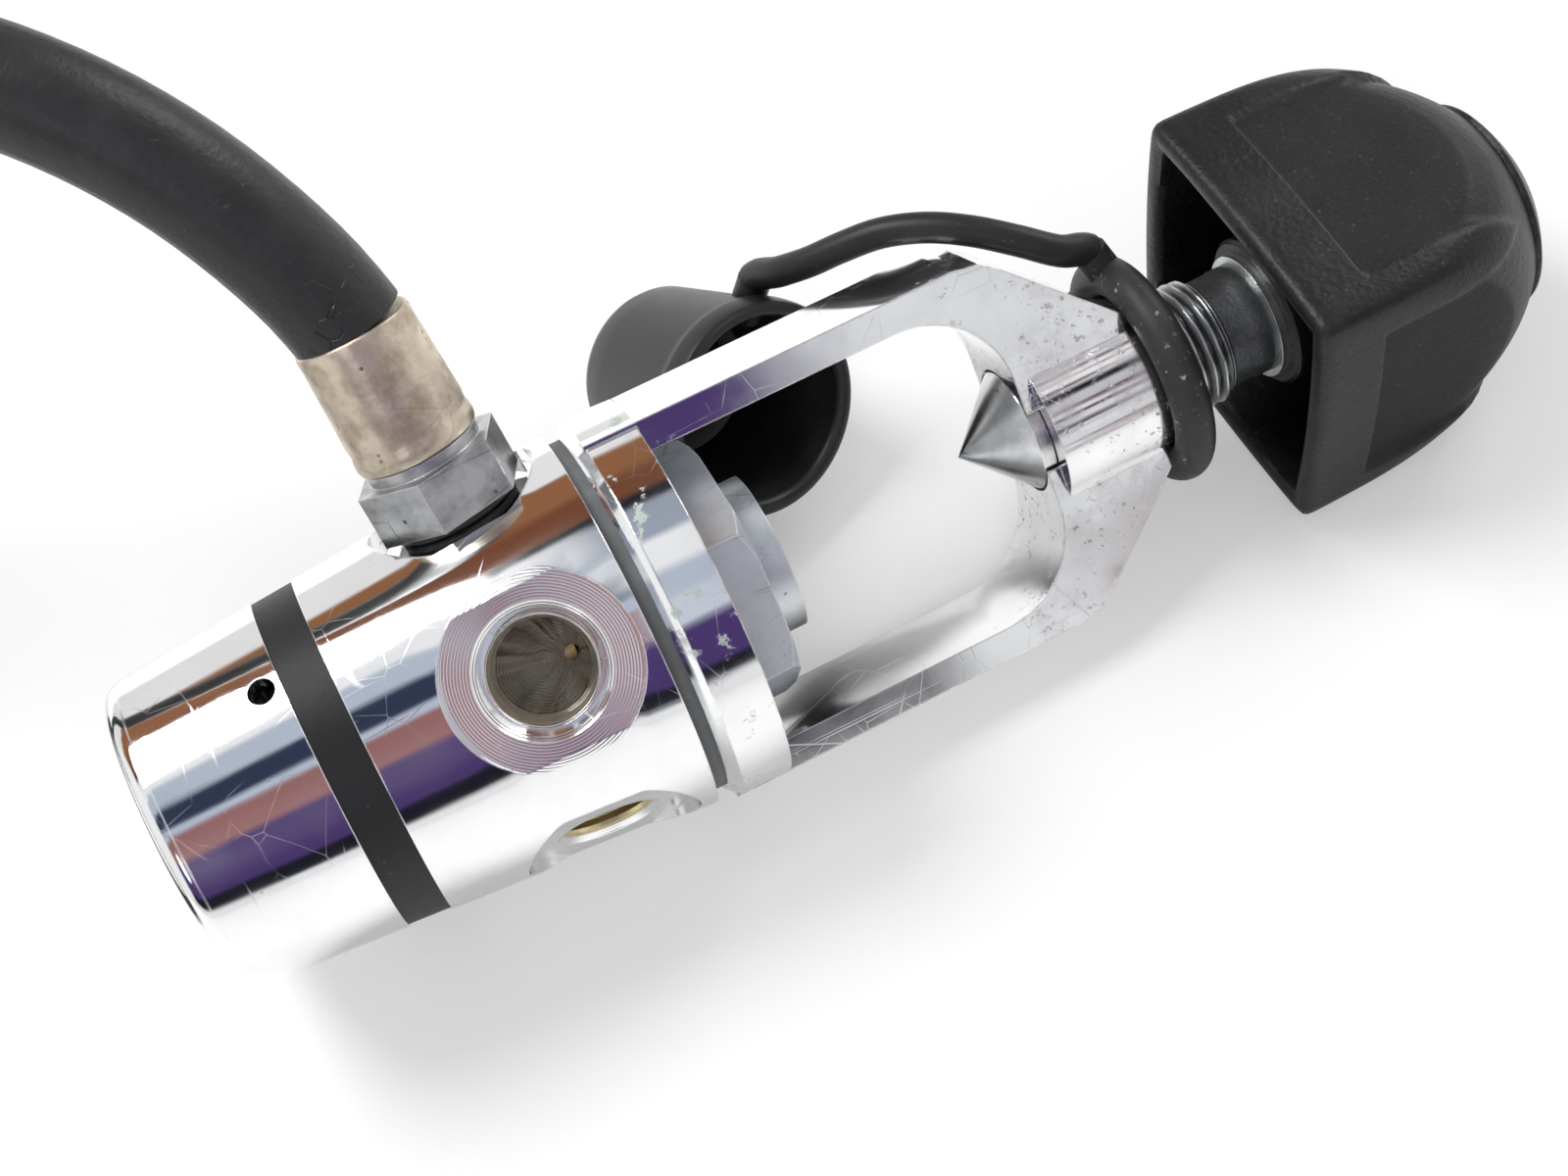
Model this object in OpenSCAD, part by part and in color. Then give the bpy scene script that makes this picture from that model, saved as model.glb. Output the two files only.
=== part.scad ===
// Single-hose diving regulator, first stage: a piston valve in a conical barrel, a yoke clamp
// with its hand screw, a tethered dust cap and one low-pressure hose.
//
// Every piece is drawn along the regulator's own axis, x = 0 at the rear face of the body and
// +X towards the hand knob. lay() then sets the whole regulator down on its yoke base and the
// flat side of its knob. A clock angle is measured from straight up towards the front (-Y).

/* [Barrel] */
// Radius of the barrel at its rear end
barrel_rear_r = 16.65; // [16:0.05:17.5]
// Radius of the barrel at the front face of the body
barrel_front_r = 20.8; // [20:0.1:21]
// Length of the end cap
cap_len = 17; // [16:0.5:19]
// Rounding of the end cap's rear edge
cap_edge_r = 2; // [0.5:0.5:3]
// Thickness of the end cap's rear wall
cap_wall = 3; // [2.5:0.5:3.5]
// Width of the black band between cap and body
band_len = 4.5; // [3:0.1:6]
// Length of the conical body
body_len = 28.5; // [27.5:0.1:33]
// Radius of a vent hole in the end cap
vent_r = 1.4; // [0.8:0.1:1.8]

/* [Ports] */
// Clock angle of the high-pressure port, and of the first of the evenly spaced ports
hp_clock = 35; // [24:1:46]
// Bore radius of the high-pressure port
hp_port_r = 5.2; // [4.8:0.1:5.5]
// Radius of the flat round the high-pressure port
hp_spot_r = 9.8; // [8:0.1:9.8]
// Length of the high-pressure port's bore
hp_port_len = 8; // [7:0.1:8.4]
// Bore radius of a low-pressure port
lp_port_r = 4.7; // [4:0.1:4.8]
// Radius of the flat round a low-pressure port
lp_spot_r = 9.2; // [8:0.1:9.4]
// Length of a low-pressure port's bore
lp_port_len = 8.2; // [7:0.1:9]
// How deep the flats are cut into the barrel
spot_depth = 1.8; // [1.2:0.1:2]

/* [Valve] */
// Radius of the piston's head
piston_head_r = 14.4; // [13.6:0.1:14.5]
// Thickness of the piston's head
piston_head_t = 3.7; // [3.2:0.1:4]
// Radius of the piston's stem
stem_r = 4; // [3.6:0.1:4.2]
// Travel of the piston from open to shut
piston_travel = 1; // [0.6:0.1:1.2]
// Radius of the main spring's wire
spring_wire_r = 1.3; // [1:0.1:1.5]
// Radius of the main spring at the middle of its wire
spring_r = 8.2; // [7.8:0.1:8.6]
// Turns of the main spring
spring_turns = 5; // [4:1:6]

/* [Yoke] */
// Thickness of the grey washer under the yoke
washer_t = 1.5; // [1.2:0.1:2.5]
// Radius of the yoke's base disc
yoke_base_r = 21.2; // [21:0.1:22]
// Thickness of the yoke's base disc
yoke_base_t = 6.6; // [6:0.1:9]
// Width of the yoke across its arms
yoke_w = 41.4; // [40:0.1:41.8]
// Depth of the yoke's arms, front to back
yoke_depth = 12.5; // [11:0.1:14]
// Width of the yoke's opening
opening_w = 34.6; // [32:0.1:35]
// Length of the yoke's opening
opening_len = 37.4; // [34:0.1:42]
// Corner radius at the far end of the opening
opening_corner_r = 10; // [6:0.5:14]
// Thickness of the yoke's end, from the opening to the boss face
yoke_end_t = 13; // [11.5:0.1:14]
// Clock angle that the yoke's front faces
yoke_clock = 54; // [49:1:56]

/* [Inlet] */
// Width across the flats of the yoke retainer
retainer_af = 26; // [24:0.5:27]
// Thickness of the yoke retainer's hexagon
retainer_hex_t = 5.1; // [4.5:0.1:6]
// Radius of the retainer's nose
nose_r = 8.5; // [8:0.1:9]
// Length of the retainer's nose
nose_len = 3.3; // [2:0.1:4]
// Radius of the retainer's threaded shank
shank_r = 9; // [8.6:0.1:9.2]

/* [Yoke screw] */
// Radius of the yoke screw's thread
screw_r = 7; // [6.6:0.1:7.4]
// Pitch of the yoke screw's thread
screw_pitch = 1.25; // [1:0.25:2]
// Length of the screw's pointed tip
tip_len = 6.7; // [5:0.1:7.5]
// Length of thread in front of the boss face
thread_out = 10.1; // [9:0.1:13]
// Length of plain neck between the thread and the knob's hub
neck_len = 6.4; // [3:0.1:7]

/* [Knob] */
// Distance from the axis to the middle of the knob's side
knob_side = 17.4; // [16.4:0.1:18]
// Distance from the axis to the knob's rounded corner at its rim
knob_corner = 23.6; // [22:0.1:24]
// Length of the knob from rim to crown
knob_len = 36.2; // [33:0.1:38]
// Distance from the boss face to the knob's rim
knob_gap = 13.1; // [12:0.1:15]
// Wall thickness of the knob
knob_wall = 2.8; // [2:0.1:3.2]

/* [Dust cap] */
// Outer radius of the dust cap's mouth
dust_mouth_r = 12.2; // [11.5:0.1:12.4]
// Outer radius of the dust cap's closed end
dust_back_r = 10.2; // [9.5:0.1:10.5]
// Depth of the dust cap
dust_len = 23; // [20:0.1:25]
// Wall thickness of the dust cap
dust_wall = 1.9; // [1.4:0.1:2.4]
// Radius of the strap's round section
strap_r = 1.6; // [1.2:0.1:1.8]
// Radius of the ring's round section
ring_tube_r = 2.1; // [1.6:0.1:2.2]

/* [Hose] */
// Radius of the hose
hose_r = 5.8; // [5.4:0.1:6.2]
// Radius of the crimped ferrules
ferrule_r = 6.3; // [6.25:0.05:6.8]
// Length of a ferrule
ferrule_len = 13.5; // [12:0.5:18]
// Width across the flats of the hose fitting
fitting_af = 14; // [13:0.5:16]
// Height of the hose fitting's hexagon
fitting_hex_t = 5.6; // [4:0.1:8]
// Width across the flats of the swivel nut at the far end
nut_af = 16; // [15:0.5:18]
// Length of the swivel nut
nut_len = 15; // [12:0.5:18]

/* [Hidden] */
$fn = 96;

run = 0.05; // radial clearance of a turning or sliding fit
fit = 0.15; // radial clearance of a screwed or pushed fit
eps = 0.01; // how far a cutter passes a face
cutter = 30; // length of a cutter that only has to reach fresh air

// Stations along the axis
rear_x = -(cap_len + band_len);
cap_front_x = -band_len;
front_x = body_len;
yoke_x = front_x + washer_t;
opening_x = yoke_x + yoke_base_t;
end_x = opening_x + opening_len;
boss_x = end_x + yoke_end_t;
rim_x = boss_x + knob_gap;
crown_x = rim_x + knob_len;
hub_x = boss_x + thread_out + neck_len;
nose_x = opening_x + retainer_hex_t + nose_len;

// Barrel: one straight taper over cap, band and body
taper = (barrel_front_r - barrel_rear_r) / (cap_len + band_len + body_len);
function barrel_r(x) = barrel_rear_r + (x - rear_x) * taper;

// Chambers of the valve
thread_r = barrel_rear_r - 1.35;
spigot_len = 7;
spigot_back_x = cap_front_x - spigot_len;
chamber_r = 11.5;
chamber_end_x = 4.5;
guide_end_x = 11.5;
lp_chamber_r = 6;
lp_chamber_end_x = 18.7;
orifice_bore_r = 4;
hp_chamber_x = 20.7;
hp_chamber_r = 7.5;
shank_x = 24.2;
inner_cap_x = rear_x + cap_wall;
head_stop_t = 1.4;
head_x = inner_cap_x + head_stop_t;
head_front_x = head_x + piston_head_t;
seat_r = 2.8;
seat_t = 2.2;
stem_end_x = 15;
crown_tip_x = stem_end_x + piston_travel;
air_bore_r = 1.2;
nozzle_r = 2.4;
inlet_bore_r = 5;
filter_r = 4.6;
groove_r = 0.8; // radius of the piston seals' section
stem_groove_x = 7.5;
orifice_groove_x = 19.1;
orifice_groove_t = 1.1;
retainer_groove_x = front_x + 0.5;
retainer_groove_t = 1.4;
circlip_t = 0.8;

// Ports
port_step = 72;
hp_port_x = 17.8;
lp_port_x = 17.7;
lp_clocks = [for (k = [1, 2, 3]) hp_clock + k * port_step];
hose_clock = hp_clock - port_step;
function spot_h(x) = barrel_r(x) - spot_depth;
drill_angle = 59; // half the angle of a drill's point
hp_duct_r = 0.8;
port_tilt = atan(taper); // the ports stand square to the sloping barrel
hp_duct_off = 3.8; // towards the inlet from the port's centre
lp_duct_r = 2.2;
port_chamfer = 1.6;
vent_x = -6.5;
vent_clock = 2;
vent_count = 3;

// Yoke
shoulder_len = 10.5;
shoulder_r = 11;
boss_r = 9.3;
neck_r = 8.7;
neck_out = 5;
yoke_back_cut = 1.9; // chamfer along the back of the arms, which lie close to the floor

// Knob
side_round = 145; // radius of the knob's slightly domed sides
dome_in = 6; // how far the dome's centre lies beyond the axis
dome_r = sqrt(pow(knob_corner + dome_in, 2) + 4);
crown_flat_r = 1.5;
dome_x = crown_x - sqrt(pow(dome_r, 2) - pow(dome_in + crown_flat_r, 2));
hub_r = 8.4;
knob_shank_r = 5.2;
knob_shank_len = 22;
rib_t = 1.8;
rib_x = hub_x + 4;
rib_reach = knob_side - 2;
crown_t = 9; // from the hollow to the top of the dome
knob_cavity_x = crown_x - crown_t;
cross_pin_r = 1.5;
pin_in = 13; // from the hub's face to the cross pin
cross_pin_x = hub_x + pin_in;
collar_r = 7;
collar_t = 1;
pad_depth = 1;
pad_w = 24.6;
pad_in = 7.5; // from the rim to the pad
pad_len = 24; // runs out under the dome

// Resting pose: the yoke base and the end of the knob's lower pad lie on the floor
pad_edge_r = knob_side - side_round + sqrt(pow(side_round, 2) - pow(pad_w / 2, 2));
pad_end_x = dome_x + sqrt(pow(dome_r, 2) - pow(norm([pad_edge_r, pad_w / 2]) + dome_in, 2));
lay_tilt = atan((yoke_base_r - pad_edge_r) / (pad_end_x - opening_x));
lay_up = opening_x * sin(lay_tilt) + yoke_base_r * cos(lay_tilt);

// Neck and tip of the screw
screw_neck_r = screw_r - 0.8;
tip_r = screw_r - 0.25;
tip_neck_len = 1.5;
tip_stub_r = 3;
tip_stub_len = 5;

// Strap and dust cap. Points are [x, y, z] on the floor-standing regulator.
ring_r = neck_r + run + ring_tube_r;
ring_x = boss_x + ring_tube_r + 0.35;
ring_root_clock = -38;
dust_mouth = [52.8, 17.9, 17.9];
dust_turn = -69.5; // heading of the mouth, from +X
dust_rise = 24.5; // how far the mouth looks up
dust_round = 3; // rounding of the closed end
dust_floor_t = 2.6;
dust_lip_len = 3;
lug_r = 1.9;
lug_gap = 0.3; // between the strap's end and the dust cap's lug
ring_lug_to = [88.6, 8.4, 30.2];
cap_lug_from = [56.9, 29.2, 21.5];
cap_lug_to = [58.6, 29.3, 24.8];
strap_route = [[85.4, 8.6, 32.3], [81.8, 10.9, 34.2], [78.3, 13.9, 35.1], [74.6, 16.8, 35.3],
    [70.5, 19.5, 34.5], [66.6, 21.5, 32.8], [63.3, 23.3, 30.8], [60.6, 25.8, 28.4]];

// Hose: fitting and ferrule stand on the port at hose_clock
seal_t = 1;
fitting_plug_len = 7;
fitting_turn = 15;
hose_bore_r = 2.2; // of the fitting and the far stem
fitting_top = seal_t + fitting_hex_t + 1.2;
ferrule_top = fitting_top + ferrule_len;
hose_route = [[16.4, 26.6, 57.8], [14.1, 30.3, 63.4], [10.7, 34.8, 69.2], [6.5, 39.3, 74.2],
    [1.8, 43.7, 78.1], [-3.7, 48.6, 80.9], [-10.3, 54.1, 82.4], [-18.1, 60.1, 82.5],
    [-26.8, 66.1, 80.2], [-35.5, 71.2, 75.2], [-44.3, 75.2, 67.9], [-51.6, 77.6, 59.4],
    [-58.9, 79.4, 50.2], [-66.6, 80.7, 41.2], [-75.2, 81.5, 32.3], [-85, 81.9, 23.9],
    [-96, 82, 16.3], [-108.5, 82, 9.8]];
coil_rest_z = 5.9;
coil_middle = [-122, 30, 0];
coil_start_r = 52;
coil_grow = 14.5; // growth of the radius in one turn
coil_turns = 1.05;
coil_rings = 24;
coil_sides = 6;
end_rise = 2.25; // the end lifts to lie at the height of its nut
end_gap = 2.4;
end_stem_r = 4.8;
end_flange_r = 5.9;
end_flange_t = 1.6;
end_nose_r = 4.5;
end_nose_len = 2;
end_seal_r = 0.6;
nut_collar_t = 2;
nut_thread_r = 6.6;
nut_thread_len = 8.5;

// ---------------------------------------------------------------- placing and turning

// Row frame: x and y of the middle of the resting regulator, without its hose
dust_axis = [cos(dust_rise) * cos(dust_turn), cos(dust_rise) * sin(dust_turn), sin(dust_rise)];
dust_back = dust_mouth - dust_len * dust_axis;
back_y = dust_back[1] + dust_round * (1 + dust_axis[1])
    + (dust_back_r - dust_round) * sqrt(1 - pow(dust_axis[1], 2));
rear_row_x = rear_x * cos(lay_tilt) + (barrel_rear_r - cap_edge_r) * -sin(lay_tilt);
mid_x = (rear_row_x + crown_x * cos(lay_tilt)) / 2;
mid_y = (back_y - yoke_base_r) / 2;

module centre() {
    translate([-mid_x, -mid_y, 0]) children();
}

module lay() {
    centre() translate([0, 0, lay_up]) rotate([0, lay_tilt, 0]) children();
}

// A point of the regulator's own frame, on the floor-standing regulator
function laid(p) = [p[0] * cos(lay_tilt) + p[2] * sin(lay_tilt), p[1],
    lay_up - p[0] * sin(lay_tilt) + p[2] * cos(lay_tilt)];
function clocked(x, clock, r) = [x, -r * sin(clock), r * cos(clock)];

module at_clock(clock) {
    rotate([clock, 0, 0]) children();
}

module along_x(x = 0) {
    translate([x, 0, 0]) rotate([0, 90, 0]) children();
}

// Solid of revolution about the axis, from [x, r] points
module turned(points) {
    along_x() rotate_extrude() polygon([for (p = points) [p[1], p[0]]]);
}

module rod(x0, x1, r) {
    along_x(x0) cylinder(r = r, h = x1 - x0);
}

module hex_x(x0, x1, af, clock) {
    along_x(x0) rotate([0, 0, 180 - clock]) cylinder(r = af / sqrt(3), h = x1 - x0, $fn = 6);
}

// Cutter for a groove of width t and bottom radius r
module groove(x, t, r) {
    turned([[x, r], [x, r + 3], [x + t, r + 3], [x + t, r]]);
}

// Seal ring about the axis
module seal(x, r, tube_r) {
    along_x(x) rotate_extrude() translate([r, 0]) circle(tube_r);
}

// ---------------------------------------------------------------- swept tubes

function unit(v) = v / norm(v);
function tangent(path, i) = unit(path[min(i + 1, len(path) - 1)] - path[max(i - 1, 0)]);

// Tube along a path, its section square to the path. upward is never parallel to it.
module tube(path, r, sides, upward, first = undef, last = undef) {
    n = len(path);
    points = [for (i = [0:n - 1])
        let (
            t = i == 0 && first != undef ? first
                : i == n - 1 && last != undef ? last : tangent(path, i),
            a = unit(cross(upward, t)),
            b = cross(t, a)
        )
        for (k = [0:sides - 1])
            path[i] + r * (cos((k + 0.5) * 360 / sides) * a + sin((k + 0.5) * 360 / sides) * b)];
    start = [[for (k = [sides - 1:-1:0]) k]];
    end = [[for (k = [0:sides - 1]) (n - 1) * sides + k]];
    walls = [for (i = [0:n - 2]) for (k = [0:sides - 1])
        let (p = i * sides + k, q = i * sides + (k + 1) % sides)
        each [[p, q, q + sides], [p, q + sides, p + sides]]];
    polyhedron(points, concat(start, walls, end), convexity = 10);
}

// ---------------------------------------------------------------- barrel

// Removes the corner of a profile, leaving a rounding of radius r. The corner points to [sx, sy].
module corner_cut(x, y, r, sx, sy) {
    translate([x - sx * r, y - sy * r]) difference() {
        translate([sx > 0 ? 0 : -r - 1, sy > 0 ? 0 : -r - 1]) square(r + 1);
        circle(r);
    }
}

module vents(r) {
    for (k = [0:vent_count - 1])
        at_clock(vent_clock + k * 360 / vent_count) translate([vent_x, 0, 0])
            cylinder(r = r, h = cutter);
}

module end_cap() {
    color([0.78, 0.8, 0.82]) lay() difference() {
        along_x() rotate_extrude() difference() {
            polygon([[0, rear_x], [barrel_rear_r, rear_x],
                [barrel_r(cap_front_x), cap_front_x], [0, cap_front_x]]);
            corner_cut(barrel_rear_r, rear_x, cap_edge_r, 1, -1);
        }
        rod(inner_cap_x, cap_front_x + eps, piston_head_r + run);
        rod(spigot_back_x - fit, cap_front_x + eps, thread_r + fit);
        vents(vent_r);
    }
}

module vent_band() {
    color([0.09, 0.09, 0.1]) lay() turned([[cap_front_x, thread_r + fit],
        [cap_front_x, barrel_r(cap_front_x) - 0.2], [0, barrel_r(0) - 0.2], [0, thread_r + fit]]);
}

// Port frame: z = 0 at the flat, pointing out
module at_port(x, clock) {
    at_clock(clock) translate([x, 0, spot_h(x)]) rotate([0, -port_tilt, 0]) children();
}

// Flat, threaded hole, chamfer and drilled bottom of one port
module port_cut(x, clock, spot_r, r, length, chamfer) {
    at_port(x, clock) {
        cylinder(r = spot_r, h = cutter);
        translate([0, 0, -length]) cylinder(r = r, h = length + eps);
        translate([0, 0, -length - r / tan(drill_angle)])
            cylinder(r1 = 0, r2 = r, h = r / tan(drill_angle));
        translate([0, 0, -chamfer]) cylinder(r1 = r, r2 = r + chamfer, h = chamfer + eps);
    }
}

module regulator_body() {
    color([0.8, 0.82, 0.84]) lay() difference() {
        union() {
            turned([[0, 0], [0, barrel_r(0)], [front_x, barrel_front_r], [front_x, 0]]);
            rod(spigot_back_x, eps, thread_r);
        }
        // spring chamber, stem guide and its seal's groove
        rod(spigot_back_x - eps, chamber_end_x, chamber_r);
        rod(chamber_end_x - eps, guide_end_x + eps, stem_r + run);
        rod(stem_groove_x, stem_groove_x + 2 * groove_r + 0.1,
            stem_r + run + 2 * groove_r + 0.02);
        vents(vent_r + 0.6);
        // low-pressure chamber, orifice seat, high-pressure chamber, retainer thread
        rod(guide_end_x, lp_chamber_end_x, lp_chamber_r);
        rod(lp_chamber_end_x - eps, hp_chamber_x + eps, orifice_bore_r + fit);
        rod(hp_chamber_x, shank_x + eps, hp_chamber_r);
        rod(shank_x, front_x + eps, shank_r + fit);
        port_cut(hp_port_x, hp_clock, hp_spot_r, hp_port_r, hp_port_len, port_chamfer);
        at_clock(hp_clock) translate([hp_port_x + hp_duct_off, 0, hp_chamber_r - 1])
            cylinder(r = hp_duct_r, h = spot_h(hp_port_x) - hp_chamber_r - 2);
        for (clock = concat(lp_clocks, [hose_clock])) {
            port_cut(lp_port_x, clock, lp_spot_r, lp_port_r, lp_port_len, port_chamfer / 2);
            at_clock(clock) translate([lp_port_x, 0, lp_chamber_r - 1])
                cylinder(r = lp_duct_r, h = spot_h(lp_port_x) - lp_chamber_r - 2);
        }
    }
}

// ---------------------------------------------------------------- valve

module piston() {
    o_groove = piston_head_r - 2 * groove_r;
    mid = (head_x + head_front_x) / 2;
    color([0.72, 0.6, 0.36]) lay() difference() {
        union() {
            rod(inner_cap_x, head_x + eps, 6);
            rod(head_x, head_front_x, piston_head_r);
            rod(head_front_x - eps, stem_end_x, stem_r);
        }
        groove(mid - groove_r - 0.05, 2 * groove_r + 0.1, o_groove);
        rod(inner_cap_x - eps, guide_end_x + 1.2, air_bore_r);
        rod(stem_end_x - seat_t, stem_end_x + eps, seat_r);
        // air reaches the chamber behind the head through the stem
        translate([guide_end_x + 0.6, 0, -stem_r - 1]) cylinder(r = 0.9, h = 2 * stem_r + 2);
        translate([inner_cap_x - eps, 0, 0]) rotate([0, 90, 0]) translate([-1, -7, 0])
            cube([2, 14, head_stop_t / 2]);
    }
}

module piston_head_o_ring() {
    color([0.1, 0.1, 0.1]) lay()
        seal((head_x + head_front_x) / 2, piston_head_r + 0.02 - groove_r, groove_r - 0.01);
}

module piston_stem_o_ring() {
    color([0.1, 0.1, 0.1]) lay()
        seal(stem_groove_x + groove_r + 0.05, stem_r + run + groove_r, groove_r);
}

module high_pressure_seat() {
    color([0.93, 0.92, 0.86]) lay() rod(stem_end_x - seat_t, stem_end_x, seat_r);
}

module main_spring() {
    rings_per_turn = 16;
    x0 = head_front_x + spring_wire_r + 0.05;
    x1 = chamber_end_x - spring_wire_r - 0.05;
    last = spring_turns * rings_per_turn;
    path = [for (i = [0:last]) [x0 + (x1 - x0) * i / last,
        spring_r * cos(i * 360 / rings_per_turn), spring_r * sin(i * 360 / rings_per_turn)]];
    color([0.6, 0.61, 0.63]) lay() tube(path, spring_wire_r, 6, [1, 0, 0]);
}

module valve_orifice() {
    color([0.75, 0.65, 0.42]) lay() difference() {
        union() {
            rod(crown_tip_x + 1.8, hp_chamber_x + eps, orifice_bore_r);
            turned([[crown_tip_x, 0], [crown_tip_x, air_bore_r + 0.4],
                [crown_tip_x + 1.81, nozzle_r], [crown_tip_x + 1.81, 0]]);
            rod(hp_chamber_x, hp_chamber_x + 1.5, hp_chamber_r - fit);
        }
        rod(crown_tip_x - eps, hp_chamber_x + 2, air_bore_r);
        turned([[hp_chamber_x + 0.8, 0], [hp_chamber_x + 0.8, air_bore_r],
            [hp_chamber_x + 1.51, air_bore_r + 0.7], [hp_chamber_x + 1.51, 0]]);
        groove(orifice_groove_x, orifice_groove_t, orifice_bore_r - 1);
    }
}

module orifice_o_ring() {
    tube_r = orifice_groove_t / 2 - eps;
    color([0.1, 0.1, 0.1]) lay()
        seal(orifice_groove_x + orifice_groove_t / 2, orifice_bore_r - 1 + tube_r + eps, tube_r);
}

// ---------------------------------------------------------------- inlet

retainer_clock = 38;
hex_corner_r = retainer_af / sqrt(3);
filter_x = nose_x - 6.2;
circlip_x = nose_x - 1.9;

module yoke_retainer() {
    hex_front_x = opening_x + retainer_hex_t;
    color([0.76, 0.74, 0.7]) lay() difference() {
        union() {
            rod(shank_x + 0.2, opening_x + eps, shank_r);
            intersection() {
                hex_x(opening_x, hex_front_x, retainer_af, retainer_clock);
                turned([[opening_x, 0], [opening_x, hex_corner_r + 0.1],
                    [hex_front_x - 1.1, hex_corner_r + 0.1], [hex_front_x, hex_corner_r - 1.4],
                    [hex_front_x, 0]]);
            }
            rod(hex_front_x - eps, nose_x, nose_r);
        }
        rod(shank_x, nose_x + eps, inlet_bore_r);
        rod(nose_x - 0.8, nose_x + eps, nose_r - 1.7);
        // groove of the circlip
        rod(circlip_x, circlip_x + circlip_t + 0.1, inlet_bore_r + 0.6);
        groove(retainer_groove_x, retainer_groove_t, shank_r - 1.2);
    }
}

module retainer_o_ring() {
    tube_r = retainer_groove_t / 2 - 0.05;
    color([0.1, 0.1, 0.1]) lay()
        seal(retainer_groove_x + retainer_groove_t / 2, shank_r - 1.15 + tube_r, tube_r);
}

module inlet_filter() {
    color([0.62, 0.52, 0.38]) lay() difference() {
        turned([[filter_x - 8, 0], [filter_x - 8, 2.4], [filter_x, filter_r], [filter_x + 3.6, filter_r],
            [filter_x + 3.6, inlet_bore_r - 0.02], [circlip_x, inlet_bore_r - 0.02], [circlip_x, 0]]);
        turned([[filter_x - 6.6, 0], [filter_x - 6.6, 1.2], [filter_x + 0.4, filter_r - 1.2],
            [circlip_x + eps, filter_r - 1.2], [circlip_x + eps, 0]]);
    }
}

module filter_circlip() {
    color([0.55, 0.56, 0.58]) lay() difference() {
        turned([[circlip_x, inlet_bore_r - 1.1], [circlip_x, inlet_bore_r + 0.5],
            [circlip_x + circlip_t, inlet_bore_r + 0.5],
            [circlip_x + circlip_t, inlet_bore_r - 1.1]]);
        at_clock(200) translate([circlip_x - 1, -1.3, 0]) cube([3, 2.6, 10]);
    }
}

module yoke_washer() {
    color([0.36, 0.37, 0.38]) lay() turned([[front_x, shank_r + fit],
        [front_x, barrel_front_r - 1.2], [yoke_x, barrel_front_r - 1.2], [yoke_x, shank_r + fit]]);
}

// ---------------------------------------------------------------- yoke

// Section of the arms, their back edges cut off. z is along y and the width along x.
module yoke_section() {
    half = yoke_w / 2 + 1;
    deep = yoke_depth / 2;
    flat = yoke_w / 2 - yoke_back_cut;
    polygon([[-half, deep + 1], [half, deep + 1], [half, 1 + yoke_back_cut - deep], [flat, -deep],
        [flat, -deep - 1], [-flat, -deep - 1], [-flat, -deep], [-half, 1 + yoke_back_cut - deep]]);
}

// Outline of the arms and the end: straight arms, sloping shoulders with a round start
module yoke_outline() {
    half = yoke_w / 2;
    shoulder_x = boss_x - shoulder_len - 2;
    end_half = boss_r - 0.3;
    slope = atan((half - end_half) / (boss_x - shoulder_x));
    back = shoulder_r * tan(slope / 2);
    proud = 0.12; // the rounding crosses its two sides instead of only touching them
    difference() {
        polygon([[yoke_x + 1, -half], [shoulder_x, -half], [boss_x, -end_half], [boss_x, end_half],
            [shoulder_x, half], [yoke_x + 1, half]]);
        for (side = [-1, 1]) scale([1, side]) difference() {
            polygon([[shoulder_x - back, half + 1], [shoulder_x - back, half], [shoulder_x, half - 0.4],
                [shoulder_x + back * cos(slope), half - back * sin(slope)],
                [shoulder_x + back, half + 1]]);
            translate([shoulder_x - back + proud * sin(slope / 2),
                half - shoulder_r + proud * cos(slope / 2)]) circle(shoulder_r);
        }
    }
}

module opening_outline() {
    difference() {
        translate([opening_x, -opening_w / 2]) square([opening_len, opening_w]);
        for (side = [-1, 1])
            corner_cut(end_x, side * opening_w / 2, opening_corner_r, 1, side);
    }
}

module yoke() {
    color([0.8, 0.81, 0.83]) lay() at_clock(yoke_clock) difference() {
        union() {
            turned([[yoke_x, 0], [yoke_x, yoke_base_r - 1.2], [yoke_x + 1.2, yoke_base_r],
                [opening_x, yoke_base_r], [opening_x, 0]]);
            intersection() {
                translate([0, 0, -yoke_depth / 2]) linear_extrude(yoke_depth) yoke_outline();
                translate([yoke_x, 0, 0]) rotate([90, 0, 90]) linear_extrude(boss_x) yoke_section();
            }
            rod(end_x + 1.5, boss_x, boss_r);
            rod(boss_x - eps, boss_x + neck_out, neck_r);
        }
        translate([0, 0, -cutter]) linear_extrude(2 * cutter) opening_outline();
        rod(yoke_x - eps, opening_x + eps, shank_r + fit);
        rod(end_x - 2, boss_x + neck_out + eps, screw_r + run);
    }
}

// ---------------------------------------------------------------- yoke screw and knob

module screw_tip() {
    color([0.72, 0.73, 0.75]) lay() {
        turned([[end_x - tip_len, 0], [end_x, tip_r], [end_x + tip_neck_len, tip_r],
            [end_x + tip_neck_len, tip_stub_r], [end_x + tip_neck_len + tip_stub_len, tip_stub_r],
            [end_x + tip_neck_len + tip_stub_len, 0]]);
    }
}

module yoke_screw() {
    thread_end_x = boss_x + thread_out;
    color([0.55, 0.57, 0.58]) lay() difference() {
        union() {
            rod(end_x + tip_neck_len, thread_end_x, screw_r);
            rod(thread_end_x - eps, hub_x, screw_neck_r);
            rod(hub_x - eps, hub_x + knob_shank_len, knob_shank_r);
        }
        rod(end_x + tip_neck_len - eps, end_x + tip_neck_len + tip_stub_len + 0.2,
            tip_stub_r + run);
        translate([cross_pin_x, 0, -cutter / 2]) cylinder(r = cross_pin_r, h = cutter);
    }
}

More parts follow.
